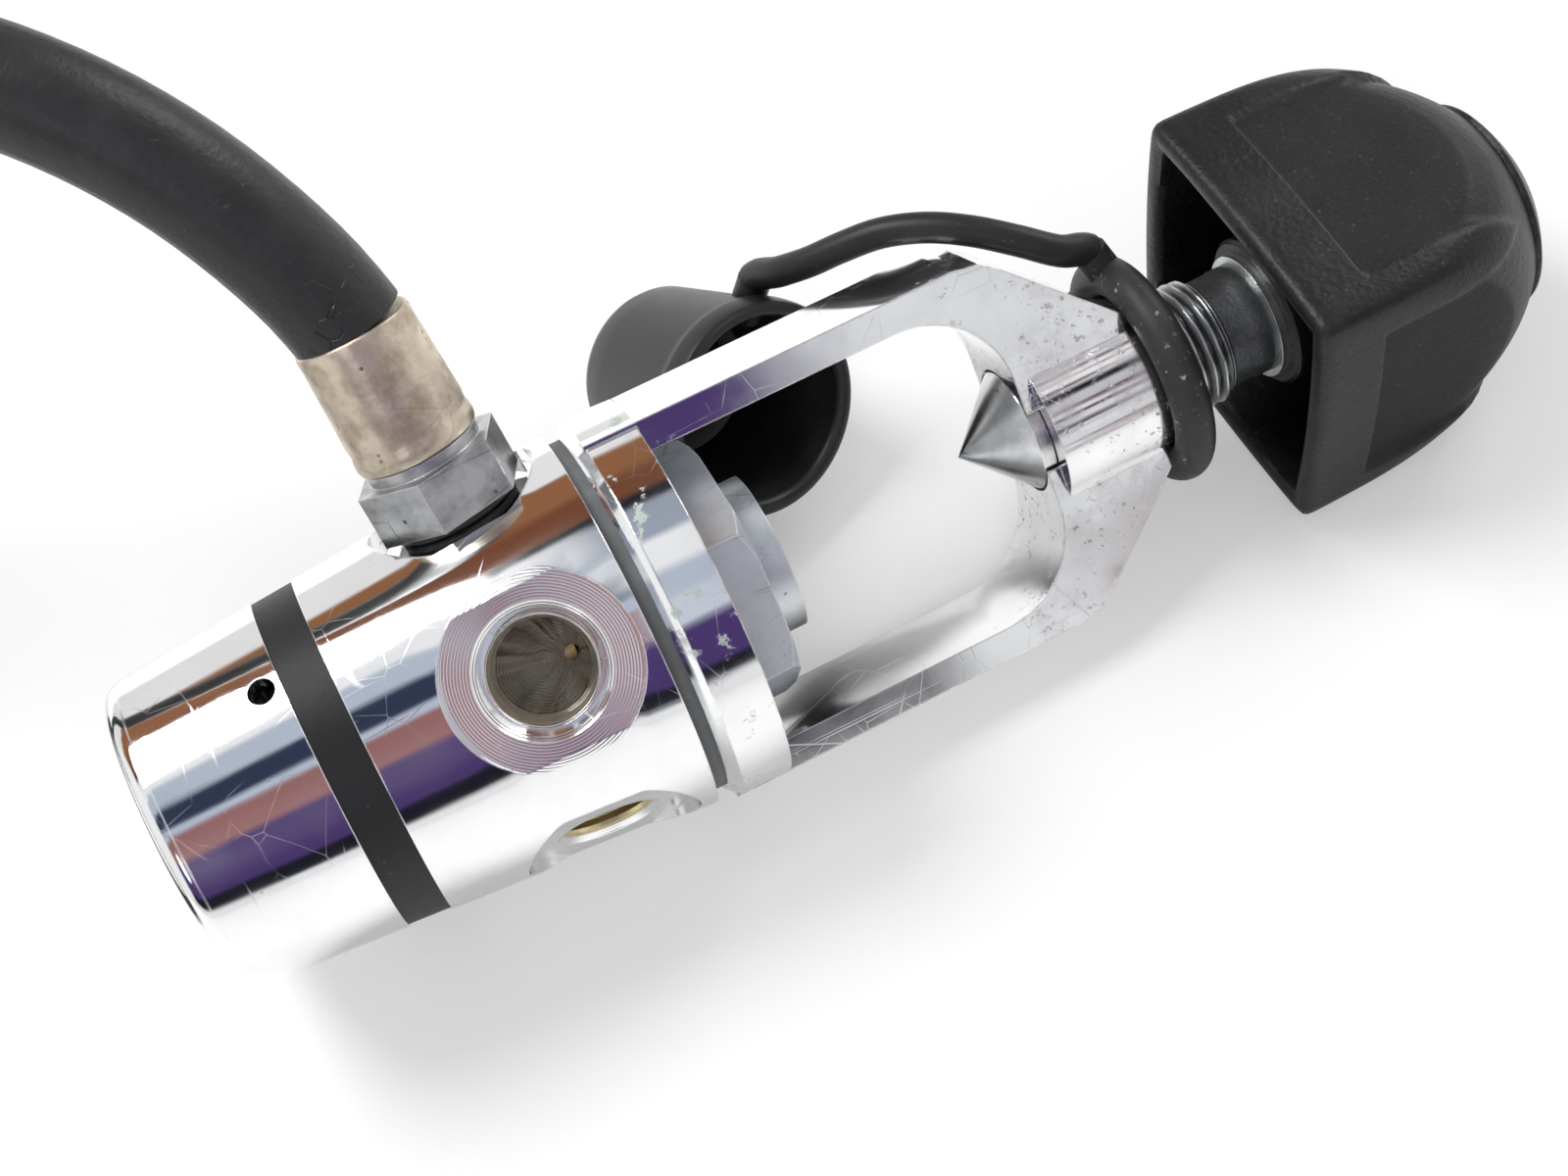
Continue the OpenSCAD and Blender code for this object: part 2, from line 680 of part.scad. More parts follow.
module hub_collar() {
    color([0.66, 0.69, 0.66]) lay() turned([[hub_x - collar_t, screw_neck_r],
        [hub_x - collar_t, collar_r], [hub_x, collar_r], [hub_x, screw_neck_r]]);
}

// Square with slightly domed sides and round corners, under a dome, between two stations
module knob_solid(side, corner, x0, x1, round_r) {
    intersection() {
        along_x(x0) linear_extrude(x1 - x0 + 1) intersection() {
            circle(corner);
            translate([side_round - side, 0]) circle(side_round);
            translate([side - side_round, 0]) circle(side_round);
            translate([0, side_round - side]) circle(side_round);
            translate([0, side - side_round]) circle(side_round);
        }
        along_x() rotate_extrude() intersection() {
            translate([-dome_in, dome_x]) circle(round_r);
            translate([0, x0 - 1]) square([corner + 5, x1 - x0 + 1]);
        }
    }
}

module knob() {
    color([0.07, 0.07, 0.075]) lay() difference() {
        union() {
            difference() {
                knob_solid(knob_side, knob_corner, rim_x, crown_x, dome_r);
                knob_solid(knob_side - knob_wall, knob_corner - knob_wall, rim_x - 1,
                    knob_cavity_x, dome_r - knob_wall);
            }
            rod(hub_x, knob_cavity_x + 1, hub_r);
            for (k = [0:3]) rotate([45 + 90 * k, 0, 0])
                translate([rib_x, -rib_t / 2, knob_shank_r + 1])
                    cube([knob_cavity_x + 1 - rib_x, rib_t, rib_reach - knob_shank_r - 1]);
        }
        rod(hub_x - eps, hub_x + knob_shank_len + 0.3, knob_shank_r + run);
        translate([cross_pin_x, 0, -cutter / 2]) cylinder(r = cross_pin_r, h = cutter);
        for (k = [0:3]) rotate([90 * k, 0, 0])
            translate([rim_x + pad_in, -pad_w / 2, knob_side - pad_depth])
                cube([pad_len, pad_w, 3]);
    }
}

module knob_cross_pin() {
    color([0.5, 0.5, 0.5]) lay() translate([cross_pin_x, 0, -hub_r + 0.2])
        cylinder(r = cross_pin_r, h = 2 * hub_r - 0.4);
}

// ---------------------------------------------------------------- strap and dust cap

// Round bar between two points
module bar(from, to, r) {
    v = to - from;
    translate(from) rotate([0, acos(v[2] / norm(v)), atan2(v[1], v[0])]) cylinder(r = r, h = norm(v));
}

strap_root = laid(clocked(ring_x, ring_root_clock, ring_r));

module strap_ring() {
    color([0.06, 0.06, 0.065]) difference() {
        union() {
            lay() seal(ring_x, ring_r, ring_tube_r);
            centre() bar(strap_root, ring_lug_to, lug_r);
        }
        lay() rod(ring_x - 2 * ring_tube_r, ring_x + 2 * ring_tube_r, neck_r + run);
    }
}

module cap_strap() {
    cap_side = unit(cap_lug_to - cap_lug_from);
    path = concat([ring_lug_to], strap_route, [cap_lug_to + lug_gap * cap_side]);
    color([0.06, 0.06, 0.065]) centre()
        tube(path, strap_r, 8, [0, 0, 1], unit(ring_lug_to - strap_root), -cap_side);
}

// Along the dust cap's own axis, z = 0 at its mouth and the closed end below
module at_dust_cap() {
    centre() translate(dust_mouth) rotate([0, 0, dust_turn]) rotate([0, 90 - dust_rise, 0]) children();
}

module dust_cap() {
    color([0.06, 0.06, 0.065]) difference() {
        union() {
            at_dust_cap() rotate_extrude() difference() {
                polygon([[0, -dust_len], [dust_back_r, -dust_len], [dust_mouth_r, -dust_lip_len],
                    [dust_mouth_r, 0], [0, 0]]);
                corner_cut(dust_back_r, -dust_len, dust_round, 1, -1);
            }
            centre() bar(cap_lug_from, cap_lug_to, lug_r);
        }
        at_dust_cap() translate([0, 0, -dust_len + dust_floor_t])
            cylinder(r1 = dust_back_r - dust_wall - 1.2, r2 = dust_mouth_r - dust_wall,
                h = dust_len - dust_floor_t + eps);
    }
}

// ---------------------------------------------------------------- hose

module hose_fitting() {
        color([0.62, 0.62, 0.6]) lay() at_port(lp_port_x, hose_clock) difference() {
        union() {
            translate([0, 0, -fitting_plug_len])
                cylinder(r = lp_port_r - run, h = fitting_plug_len + seal_t + eps);
            translate([0, 0, seal_t]) rotate(fitting_turn)
                cylinder(r = fitting_af / sqrt(3), h = fitting_hex_t, $fn = 6);
            translate([0, 0, seal_t + fitting_hex_t - eps])
                cylinder(r = fitting_af / 2 - 1, h = 1.2 + eps);
        }
        translate([0, 0, -fitting_plug_len - 1])
            cylinder(r = hose_bore_r, h = fitting_plug_len + fitting_top - 1);
    }
}

module fitting_o_ring() {
    color([0.1, 0.1, 0.1]) lay() at_port(lp_port_x, hose_clock)
        translate([0, 0, seal_t / 2]) rotate_extrude() translate([lp_port_r + 1.1, 0]) circle(seal_t / 2);
}

module crimped(length) {
    difference() {
        cylinder(r = ferrule_r, h = length);
        for (z = [3:4:length - 3]) translate([0, 0, z]) rotate_extrude()
            translate([ferrule_r + 0.4, 0]) circle(0.6);
    }
}

module hose_ferrule() {
    color([0.66, 0.6, 0.46]) lay() at_port(lp_port_x, hose_clock)
        translate([0, 0, fitting_top]) crimped(ferrule_len);
}

// Point on the axis of the port at lp_port_x, h out from its flat
function out_of_port(clock, h) = clocked(lp_port_x - h * sin(port_tilt), clock,
    spot_h(lp_port_x) + h * cos(port_tilt));
hose_root = laid(out_of_port(hose_clock, ferrule_top));
hose_root_dir = laid(out_of_port(hose_clock, ferrule_top + 1)) - hose_root;

module hose() {
    path = concat([hose_root], hose_route, [coil_point(0)]);
    color([0.07, 0.07, 0.075]) centre()
        tube(path, hose_r, 12, [0.3, -0.5, 0.8], hose_root_dir, [-1, 0, 0]);
}

// Spiral on the floor, from the top of the loop round by the left
function coil_point(turn) = let (
    r = coil_start_r + coil_grow * turn,
    a = 90 + 360 * turn,
    lift = max(0, (turn - coil_turns + 0.15) / 0.15)
) coil_middle + [r * cos(a), r * sin(a), coil_rest_z + end_rise * lift * lift * (3 - 2 * lift)];

coil_steps = ceil(coil_rings * coil_turns);
coil_path = [for (i = [0:coil_steps]) coil_point(i * coil_turns / coil_steps)];
coil_end = coil_path[coil_steps];
end_heading = 90 + 360 * coil_turns + 90 - 2;

// Least clear gap between the coil's tube and itself, one turn on
coil_gap = min([for (i = [0:60 * (coil_turns - 1)]) for (j = [-6:6])
    norm(coil_point(i / 60) - coil_point(min(1 + (i + j) / 60, coil_turns)))]) - 2 * hose_r;

module hose_coil() {
    echo(coil_gap_mm = coil_gap);
    color([0.07, 0.07, 0.075]) centre() tube(coil_path, hose_r, coil_sides, [0, 0, 1],
        [-1, 0, 0], [cos(end_heading), sin(end_heading), 0]);
}

module at_hose_end(z) {
    centre() translate(coil_end) rotate([0, 0, end_heading]) rotate([0, 90, 0])
        translate([0, 0, z]) children();
}

module end_ferrule() {
    color([0.66, 0.6, 0.46]) at_hose_end(0) crimped(ferrule_len);
}

module end_stem() {
    color([0.62, 0.62, 0.6]) at_hose_end(ferrule_len) difference() {
        union() {
            cylinder(r = end_stem_r, h = end_gap + nut_collar_t + end_flange_t);
            translate([0, 0, end_gap + nut_collar_t + fit]) cylinder(r = end_flange_r, h = end_flange_t);
            translate([0, 0, end_gap + nut_collar_t]) cylinder(r = end_nose_r, h = end_flange_t + end_nose_len);
        }
        translate([0, 0, end_gap - 0.4]) cylinder(r = hose_bore_r, h = cutter);
    }
}

module end_o_ring() {
    color([0.1, 0.1, 0.1])
        at_hose_end(ferrule_len + end_gap + nut_collar_t + end_flange_t + fit + end_seal_r)
            rotate_extrude() translate([end_nose_r + end_seal_r, 0]) circle(end_seal_r - eps);
}

module end_nut() {
    color([0.8, 0.8, 0.8]) at_hose_end(ferrule_len + end_gap) difference() {
        rotate(30) cylinder(r = nut_af / sqrt(3), h = nut_len, $fn = 6);
        translate([0, 0, -eps]) cylinder(r = end_stem_r + run, h = nut_len);
        translate([0, 0, nut_collar_t]) cylinder(r = end_flange_r + run, h = nut_len);
        translate([0, 0, nut_len - nut_thread_len]) cylinder(r = nut_thread_r, h = nut_len);
    }
}

end_cap();
vent_band();
regulator_body();
piston();
piston_head_o_ring();
piston_stem_o_ring();
high_pressure_seat();
main_spring();
valve_orifice();
orifice_o_ring();
inlet_filter();
filter_circlip();
yoke_retainer();
retainer_o_ring();
yoke_washer();
yoke();
screw_tip();
yoke_screw();
hub_collar();
knob();
knob_cross_pin();
strap_ring();
cap_strap();
dust_cap();
hose_fitting();
fitting_o_ring();
hose_ferrule();
hose();
hose_coil();
end_ferrule();
end_stem();
end_o_ring();
end_nut();
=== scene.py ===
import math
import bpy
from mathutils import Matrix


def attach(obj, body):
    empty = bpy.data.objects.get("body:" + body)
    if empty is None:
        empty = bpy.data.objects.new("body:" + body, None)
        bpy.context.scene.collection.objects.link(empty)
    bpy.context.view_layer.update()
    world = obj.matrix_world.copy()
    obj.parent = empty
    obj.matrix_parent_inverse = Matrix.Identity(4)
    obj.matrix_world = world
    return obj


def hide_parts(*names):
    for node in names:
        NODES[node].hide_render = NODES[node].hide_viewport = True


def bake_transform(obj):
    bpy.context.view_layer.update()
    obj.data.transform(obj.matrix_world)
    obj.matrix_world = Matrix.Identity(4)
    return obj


bl_info = {
    "name": "Diving regulator",
    "version": (1, 0, 0),
    "blender": (4, 5, 0),
    "location": "View3D > Sidebar > Regulator",
    "description": "Dresses the packed diving regulator: hose, strap, thread, knob and finishes",
    "category": "Object",
}

import bmesh
import bpy
from mathutils import Vector

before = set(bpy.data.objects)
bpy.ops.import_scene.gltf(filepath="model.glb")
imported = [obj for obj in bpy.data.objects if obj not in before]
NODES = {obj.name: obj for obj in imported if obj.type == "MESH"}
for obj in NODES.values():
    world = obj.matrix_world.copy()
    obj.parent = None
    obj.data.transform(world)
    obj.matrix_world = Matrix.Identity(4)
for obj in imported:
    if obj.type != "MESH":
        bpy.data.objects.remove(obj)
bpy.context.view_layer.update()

MM = 0.001
# How the regulator rests: its axis runs down towards the knob, and the middle of its box is
# the row frame's origin. Lengths in millimetres.
TILT = math.radians(2.96193)
UP = 23.0629
MIDDLE = (56.9448, 10.2561)
AXIS_X = Vector((math.cos(TILT), 0.0, -math.sin(TILT)))
AXIS_Y = Vector((0.0, 1.0, 0.0))
AXIS_Z = Vector((math.sin(TILT), 0.0, math.cos(TILT)))


def standing(point):
    """A point of the floor-standing regulator, in millimetres, in the row frame in metres."""
    return Vector((point[0] - MIDDLE[0], point[1] - MIDDLE[1], point[2])) * MM


def laid(point):
    """A point of the regulator's own frame, in millimetres, in the row frame in metres."""
    p = AXIS_X * point[0] + AXIS_Y * point[1] + AXIS_Z * point[2]
    return standing((p.x, p.y, p.z + UP))


HOME = laid((0, 0, 0))

# Barrel and its ports, in millimetres and degrees
REAR_X, FRONT_X = -21.5, 28.5
REAR_R, FRONT_R = 16.65, 20.8
TAPER = (FRONT_R - REAR_R) / (FRONT_X - REAR_X)
SPOT_DEPTH = 1.8
PORTS = (
    # clock angle, station, bore radius, radius of the flat, depth of the thread, high pressure
    (35, 17.8, 5.2, 9.8, 8.2, True),
    (107, 17.7, 4.7, 9.2, 8.5, False),
    (179, 17.7, 4.7, 9.2, 8.5, False),
    (251, 17.7, 4.7, 9.2, 8.5, False),
)
HOSE_CLOCK = -37


def port(clock, x, out):
    """A point on a port's axis, out from its flat, in the regulator's own frame."""
    lean = math.atan(TAPER)
    flat = REAR_R + (x - REAR_X) * TAPER - SPOT_DEPTH
    r = flat + out * math.cos(lean)
    a = math.radians(clock)
    return (x - out * math.sin(lean), -r * math.sin(a), r * math.cos(a))


# ------------------------------------------------------------------ meshes


def solid(name, verts, faces, sharp=35):
    """A smooth-shaded mesh object in the row frame, its edges sharp above an angle."""
    mesh = bpy.data.meshes.new(name)
    mesh.from_pydata([tuple(v) for v in verts], [], faces)
    mesh.validate()
    bm = bmesh.new()
    bm.from_mesh(mesh)
    bmesh.ops.remove_doubles(bm, verts=bm.verts, dist=1e-7)
    bmesh.ops.recalc_face_normals(bm, faces=bm.faces)
    bm.to_mesh(mesh)
    bm.free()
    mesh.shade_smooth()
    mesh.set_sharp_from_angle(angle=math.radians(sharp))
    thing = bpy.data.objects.new(name, mesh)
    bpy.context.scene.collection.objects.link(thing)
    return thing


def rings_to_solid(name, rings, sharp=35, close_ends=True, loop=False):
    """Skins rings of equally many points. A loop of rings closes on its first one."""
    n = len(rings[0])
    verts = [p for ring in rings for p in ring]
    faces = []
    count = len(rings)
    for i in range(count if loop else count - 1):
        j = (i + 1) % count
        for k in range(n):
            m = (k + 1) % n
            faces.append((i * n + k, i * n + m, j * n + m, j * n + k))
    if close_ends and not loop:
        faces.append(tuple(reversed(range(n))))
        faces.append(tuple(range((count - 1) * n, count * n)))
    return solid(name, verts, faces, sharp)


def square_to(axis):
    """Two directions square to an axis."""
    a = axis.cross(Vector((0, 0, 1)))
    if a.length < 1e-4:
        a = axis.cross(Vector((1, 0, 0)))
    a.normalize()
    return a, axis.cross(a).normalized()


def lathe(name, profile, base, axis, sides=96, sharp=35):
    """Turns a closed profile of (along, radius) in millimetres about an axis."""
    a, b = square_to(axis)
    rings = []
    for along, radius in profile:
        centre = base + axis * (along * MM)
        radius = max(radius, 0.0005) * MM
        rings.append([
            centre + a * (radius * math.cos(t)) + b * (radius * math.sin(t))
            for t in (2 * math.pi * k / sides for k in range(sides))
        ])
    return rings_to_solid(name, rings, sharp, close_ends=False, loop=True)


def smooth_route(points, start=None, end=None, step=2.0):
    """Points along a smooth curve through the given ones, about a step apart."""
    p = [Vector(q) for q in points]
    first = p[0] - (Vector(start) * (p[1] - p[0]).length if start is not None else p[1] - p[0])
    last = p[-1] + (Vector(end) * (p[-1] - p[-2]).length if end is not None else p[-1] - p[-2])
    q = [first] + p + [last]
    out = []
    for i in range(1, len(q) - 2):
        p0, p1, p2, p3 = q[i - 1:i + 3]
        t0, t1 = 0.0, (p1 - p0).length ** 0.5
        t2 = t1 + (p2 - p1).length ** 0.5
        t3 = t2 + (p3 - p2).length ** 0.5
        count = max(2, round((p2 - p1).length / step))
        for k in range(count):
            t = t1 + (t2 - t1) * k / count
            a1 = p0 * ((t1 - t) / (t1 - t0)) + p1 * ((t - t0) / (t1 - t0))
            a2 = p1 * ((t2 - t) / (t2 - t1)) + p2 * ((t - t1) / (t2 - t1))
            a3 = p2 * ((t3 - t) / (t3 - t2)) + p3 * ((t - t2) / (t3 - t2))
            b1 = a1 * ((t2 - t) / (t2 - t0)) + a2 * ((t - t0) / (t2 - t0))
            b2 = a2 * ((t3 - t) / (t3 - t1)) + a3 * ((t - t1) / (t3 - t1))
            out.append(b1 * ((t2 - t) / (t2 - t1)) + b2 * ((t - t1) / (t2 - t1)))
    out.append(p[-1])
    return out


def route_length(path):
    """Length along a list of points."""
    return sum((b - a).length for a, b in zip(path, path[1:]))


def tube(name, path, radius, sides=20, sharp=50):
    """A tube in the row frame. radius is metres, or a function of the share of the way."""
    rings = []
    side = None
    total = route_length(path)
    gone = 0.0
    for i, p in enumerate(path):
        t = (path[min(i + 1, len(path) - 1)] - path[max(i - 1, 0)]).normalized()
        if side is None:
            side = square_to(t)[0]
        side = (side - t * side.dot(t)).normalized()
        up = t.cross(side)
        if i:
            gone += (p - path[i - 1]).length
        r = radius(gone / total) if callable(radius) else radius
        rings.append([
            p + side * (r * math.cos(a)) + up * (r * math.sin(a))
            for a in (2 * math.pi * k / sides for k in range(sides))
        ])
    return rings_to_solid(name, rings, sharp)


# ------------------------------------------------------------------ finishes


class Value:
    """A number socket. Arithmetic on it adds the Math nodes."""

    def __init__(self, finish, socket):
        self.finish = finish
        self.socket = socket

    def math(self, operation, *values):
        """A Math node over the given numbers or sockets."""
        sockets = dict(enumerate(values))
        node = self.finish.node("ShaderNodeMath", {"operation": operation}, sockets)
        return Value(self.finish, node.outputs[0])

    def __add__(self, other):
        return self.math("ADD", self, other)

    def __radd__(self, other):
        return self.math("ADD", other, self)

    def __sub__(self, other):
        return self.math("SUBTRACT", self, other)

    def __rsub__(self, other):
        return self.math("SUBTRACT", other, self)

    def __mul__(self, other):
        return self.math("MULTIPLY", self, other)

    def __rmul__(self, other):
        return self.math("MULTIPLY", other, self)

    def __truediv__(self, other):
        return self.math("DIVIDE", self, other)

    def __abs__(self):
        return self.math("ABSOLUTE", self)

    def least(self, other):
        return self.math("MINIMUM", self, other)

    def most(self, other):
        return self.math("MAXIMUM", self, other)

    def root(self):
        return self.math("SQRT", self.most(0.0))

    def sine(self):
        return self.math("SINE", self)

    def part(self):
        return self.math("FRACT", self)

    def step(self, low, high):
        """0 below low, 1 above high and smooth between. high may be the lower one."""
        span = self.finish.node(
            "ShaderNodeMapRange",
            {"interpolation_type": "SMOOTHSTEP", "clamp": True},
            {"Value": self, "From Min": low, "From Max": high},
        )
        return Value(self.finish, span.outputs[0])


class Finish:
    """One material. Places are millimetres in the regulator's own frame."""

    def __init__(self, name, owner=None):
        """Clears the nodes of a new material, or of the owner given instead of one."""
        self.material = owner or bpy.data.materials.new(name)
        self.material.use_nodes = True
        self.tree = self.material.node_tree
        self.tree.nodes.clear()
        self._place = None

    def node(self, kind, settings=None, sockets=None):
        """A node with its settings, and its sockets set or linked."""
        node = self.tree.nodes.new(kind)
        for key, value in (settings or {}).items():
            if key == "stops":
                ramp = node.color_ramp
                while len(ramp.elements) < len(value):
                    ramp.elements.new(0.5)
                for element, (at, colour) in zip(ramp.elements, value):
                    element.position = at
                    element.color = (*colour, 1.0)
            else:
                setattr(node, key, value)
        for key, value in (sockets or {}).items():
            socket = node.inputs[key]
            if isinstance(value, Value):
                value = value.socket
            if isinstance(value, bpy.types.NodeSocket):
                self.tree.links.new(value, socket)
            elif socket.type == "RGBA" and len(value) == 3:
                socket.default_value = (*value, 1.0)
            else:
                socket.default_value = value
        return node

    def vector(self, operation, a, b, out=0):
        """A Vector Math node over two vectors."""
        node = self.node("ShaderNodeVectorMath", {"operation": operation}, {0: a, 1: b})
        return node.outputs[out]

    @property
    def place(self):
        """Where on the regulator, a vector in its own frame. Sets x, y and z as well."""
        if self._place is None:
            at = self.node("ShaderNodeTexCoord").outputs["Object"]
            away = self.vector("SUBTRACT", at, tuple(HOME))
            parts = [
                self.vector("DOT_PRODUCT", away, tuple(axis / MM), out="Value")
                for axis in (AXIS_X, AXIS_Y, AXIS_Z)
            ]
            self.x, self.y, self.z = (Value(self, part) for part in parts)
            combined = self.node("ShaderNodeCombineXYZ", None, dict(enumerate(parts)))
            self._place = combined.outputs[0]
        return self._place

    def noise(self, size, detail=3.0, rough=0.5, stretch=(1, 1, 1), shift=0.0):
        """Cloudy noise about 0.5, its lumps about size millimetres."""
        grid = tuple(s / size for s in stretch)
        at = self.vector("MULTIPLY", self.place, grid)
        at = self.vector("ADD", at, (shift, shift * 0.7, shift * 1.3))
        node = self.node("ShaderNodeTexNoise", {"noise_dimensions": "3D"},
                         {"Vector": at, "Scale": 1.0, "Detail": detail, "Roughness": rough})
        return Value(self, node.outputs[0])

    def cells(self, size, feature="F1", stretch=(1, 1, 1), shift=0.0):
        """Distance in a pattern of cells about size millimetres across."""
        grid = tuple(s / size for s in stretch)
        at = self.vector("MULTIPLY", self.place, grid)
        at = self.vector("ADD", at, (shift, shift * 0.6, shift * 1.7))
        node = self.node("ShaderNodeTexVoronoi", {"feature": feature},
                         {"Vector": at, "Scale": 1.0, "Randomness": 1.0})
        return Value(self, node.outputs["Distance"])

    def scratches(self, size=5.0, width=0.012, shift=0.0, stretch=(0.08, 1, 1)):
        """Thin lines, mostly along x."""
        edge = self.cells(size, "DISTANCE_TO_EDGE", stretch, shift)
        some = self.noise(size * 2.2, 2.0, 0.5, (1, 1, 1), shift + 3).step(0.5, 0.62)
        return edge.step(width, 0.0) * some

    def specks(self, size, share=0.12, reach=7.0, amount=0.5, shift=0.0):
        """Small spots in patches."""
        spot = self.cells(size, "F1", shift=shift).step(share * 1.5, share)
        patch = self.noise(reach, 3.0, 0.6, shift=shift + 5).step(1.04 - amount, 1.16 - amount)
        return spot * patch

    def mix(self, share, a, b):
        """Colour a, turning into b as share goes from 0 to 1."""
        node = self.node("ShaderNodeMix", {"data_type": "RGBA", "clamp_factor": True},
                         {0: share, 6: a, 7: b})
        return node.outputs[2]

    def rounded(self, radius):
        """Normal of the surface with its sharp edges rounded off."""
        return self.node("ShaderNodeBevel", {"samples": 4}, {"Radius": radius * MM}).outputs[0]

    def edges(self, radius):
        """About 1 along edges, 0 elsewhere."""
        round_ = self.rounded(radius)
        flat = self.node("ShaderNodeNewGeometry").outputs["Normal"]
        same = Value(self, self.vector("DOT_PRODUCT", round_, flat, out="Value"))
        return same.step(0.995, 0.86)

    def bump(self, height, depth, under=None):
        """Normal of a height that goes from 0 to 1 over depth millimetres."""
        sockets = {"Strength": 1.0, "Distance": depth * MM, "Height": height}
        if under is not None:
            sockets["Normal"] = under
        return self.node("ShaderNodeBump", None, sockets).outputs[0]

    def surface(self, colour, rough, metal, normal, specular=0.5):
        """Ends the material in its shader."""
        sockets = {"Base Color": colour, "Roughness": rough, "Metallic": metal,
                   "Normal": normal, "Specular IOR Level": specular}
        shader = self.node("ShaderNodeBsdfPrincipled", None, sockets)
        self.node("ShaderNodeOutputMaterial", None, {0: shader.outputs[0]})
        return self.material


def chrome(name, colour, haze=0.05, ports=False, yoke=False):
    """Bright plate with wiping haze, hairlines and specks, and brass where it is bored, with
    painted shade deep in each bore.
    """
    f = Finish(name)
    cloud = f.noise(11, 4.0, 0.6)
    lines = f.scratches(6, 0.01).most(f.scratches(9, 0.008, 11, (0.5, 0.06, 0.5)))
    lines = lines.most(f.scratches(4, 0.012, 23, (0.9, 0.9, 0.07)))
    dots = f.specks(1.6, 0.1, 9, 0.42)
    rough = cloud.step(0.35, 0.75) * haze + 0.05 + lines * 0.16 + dots * 0.3
    tone = f.mix(cloud.step(0.3, 0.8), colour, tuple(c * 0.9 for c in colour))
    tone = f.mix(dots * 0.7, tone, (0.2, 0.19, 0.18))
    height = f.noise(14, 2.0, 0.4) * 0.6 - lines * 0.1 - dots * 0.3
    normal = f.bump(height, 0.02, f.rounded(0.25))
    metal = 1.0 - dots * 0.5
    if yoke:
        end = f.x.step(52, 80)
        near = f.noise(7, 4.0, 0.65, shift=4)
        pits = f.noise(0.8, 4.0, 0.75, shift=9).step(0.6, 0.66)
        more = f.noise(2.6, 5.0, 0.75, shift=2).step(0.61, 0.66)
        strong = (near * 0.8 + end * 0.26).step(0.56, 0.8)
        pits = (pits.most(more) * strong).least(1.0)
        worn = f.edges(0.35) * f.noise(3, 3.0, 0.6, shift=6).step(0.45, 0.6)
        green = f.x.step(41, 37.8) * f.noise(3, 4.0, 0.7, shift=8).step(0.6, 0.7)
        tone = f.mix(strong * 0.3, tone, (0.66, 0.64, 0.61))
        tone = f.mix(pits * 0.8, tone, (0.13, 0.125, 0.12))
        tone = f.mix(worn * 0.6, tone, (0.42, 0.34, 0.24))
        tone = f.mix(green * 0.7, tone, (0.24, 0.33, 0.25))
        rough = (rough + pits * 0.4 + strong * 0.12 + green * 0.4 + worn * 0.12).least(0.9)
        metal = (metal - pits * 0.5 - green * 0.6).most(0.0)
        normal = f.bump(1.0 - pits - worn * 0.3, 0.06, normal)
    if ports:
        brass_hp, brass_lp = (0.7, 0.66, 0.56), (0.7, 0.6, 0.36)
        for clock, x, r, flat_r, deep, high in PORTS:
            face = port(clock, x, 0)
            out = Vector(port(clock, x, 1)) - Vector(face)
            away = f.vector("SUBTRACT", f.place, face)
            h = Value(f, f.vector("DOT_PRODUCT", away, tuple(out), out="Value"))
            square = Value(f, f.vector("DOT_PRODUCT", away, away, out="Value"))
            rad = (square - h * h).root()
            bore = (rad.step(r + 0.35, r + 0.1) * h.step(-0.35, -0.7)
                    * h.step(-deep - 4.5, -deep - 4))
            wall = rad.step(r - 0.5, r - 0.2) * bore * h.step(-deep - 0.1, -deep + 0.2)
            ring = rad.step(flat_r + 0.2, flat_r - 0.1) * h.step(-0.6, -0.3) * h.step(0.5, 0.2)
            brass = brass_hp if high else brass_lp
            dark = f.noise(2.2, 4.0, 0.65, shift=clock)
            inside = f.mix(dark.step(0.45, 0.8), brass, tuple(c * 0.62 for c in brass))
            # Painted shade: the bore's brass is painted darker towards the bottom of the port.
            inside = f.mix(h.step(-deep + 1.5, -deep - 4) * 0.3, inside, (0.2, 0.17, 0.12))
            tone = f.mix(bore, tone, inside)
            rough = rough + bore * 0.26 + ring * 0.07
            thread = abs((h / 1.27).part() - 0.5) * 2.0
            turned = (rad * 21.0 + f.noise(3, 2.0) * 2.0).sine() * 0.5 + 0.5
            normal = f.bump(wall * thread, 0.4, normal)
            normal = f.bump(ring * turned * 0.3 + bore * (1.0 - wall) * turned, 0.04, normal)
    return f.surface(tone, rough, metal, normal)


def metal_finish(name, colour, dark, rough=0.3, size=4.0, grain=0.4, wear=0.5, depth=0.03,
                 stretch=(1, 1, 1), lines=0.5):
    """Duller metal: cloudy tone, fine grain, scratches, and brighter worn edges."""
    f = Finish(name)
    cloud = f.noise(size, 5.0, 0.62)
    fine = f.noise(grain, 2.0, 0.5, stretch, 7)
    marks = f.scratches(4, 0.02, 5, (0.3, 0.7, 1)) * lines
    nicks = f.specks(1.3, 0.14, 5, 0.5, 12)
    rim = f.edges(0.3)
    tone = f.mix(cloud.step(0.35, 0.7), colour, dark)
    tone = f.mix(marks.most(nicks * 0.9), tone, tuple(c * 0.35 for c in dark))
    tone = f.mix(rim * wear, tone, tuple(min(1.0, c * 1.25) for c in colour))
    roughness = cloud * 0.16 + fine * 0.1 + (rough - 0.1) + nicks * 0.2 - rim * 0.08
    height = fine * 0.5 + cloud * 0.5 - marks * 0.5 - nicks
    normal = f.bump(height, depth, f.rounded(0.2))
    return f.surface(tone, roughness, 1.0, normal)


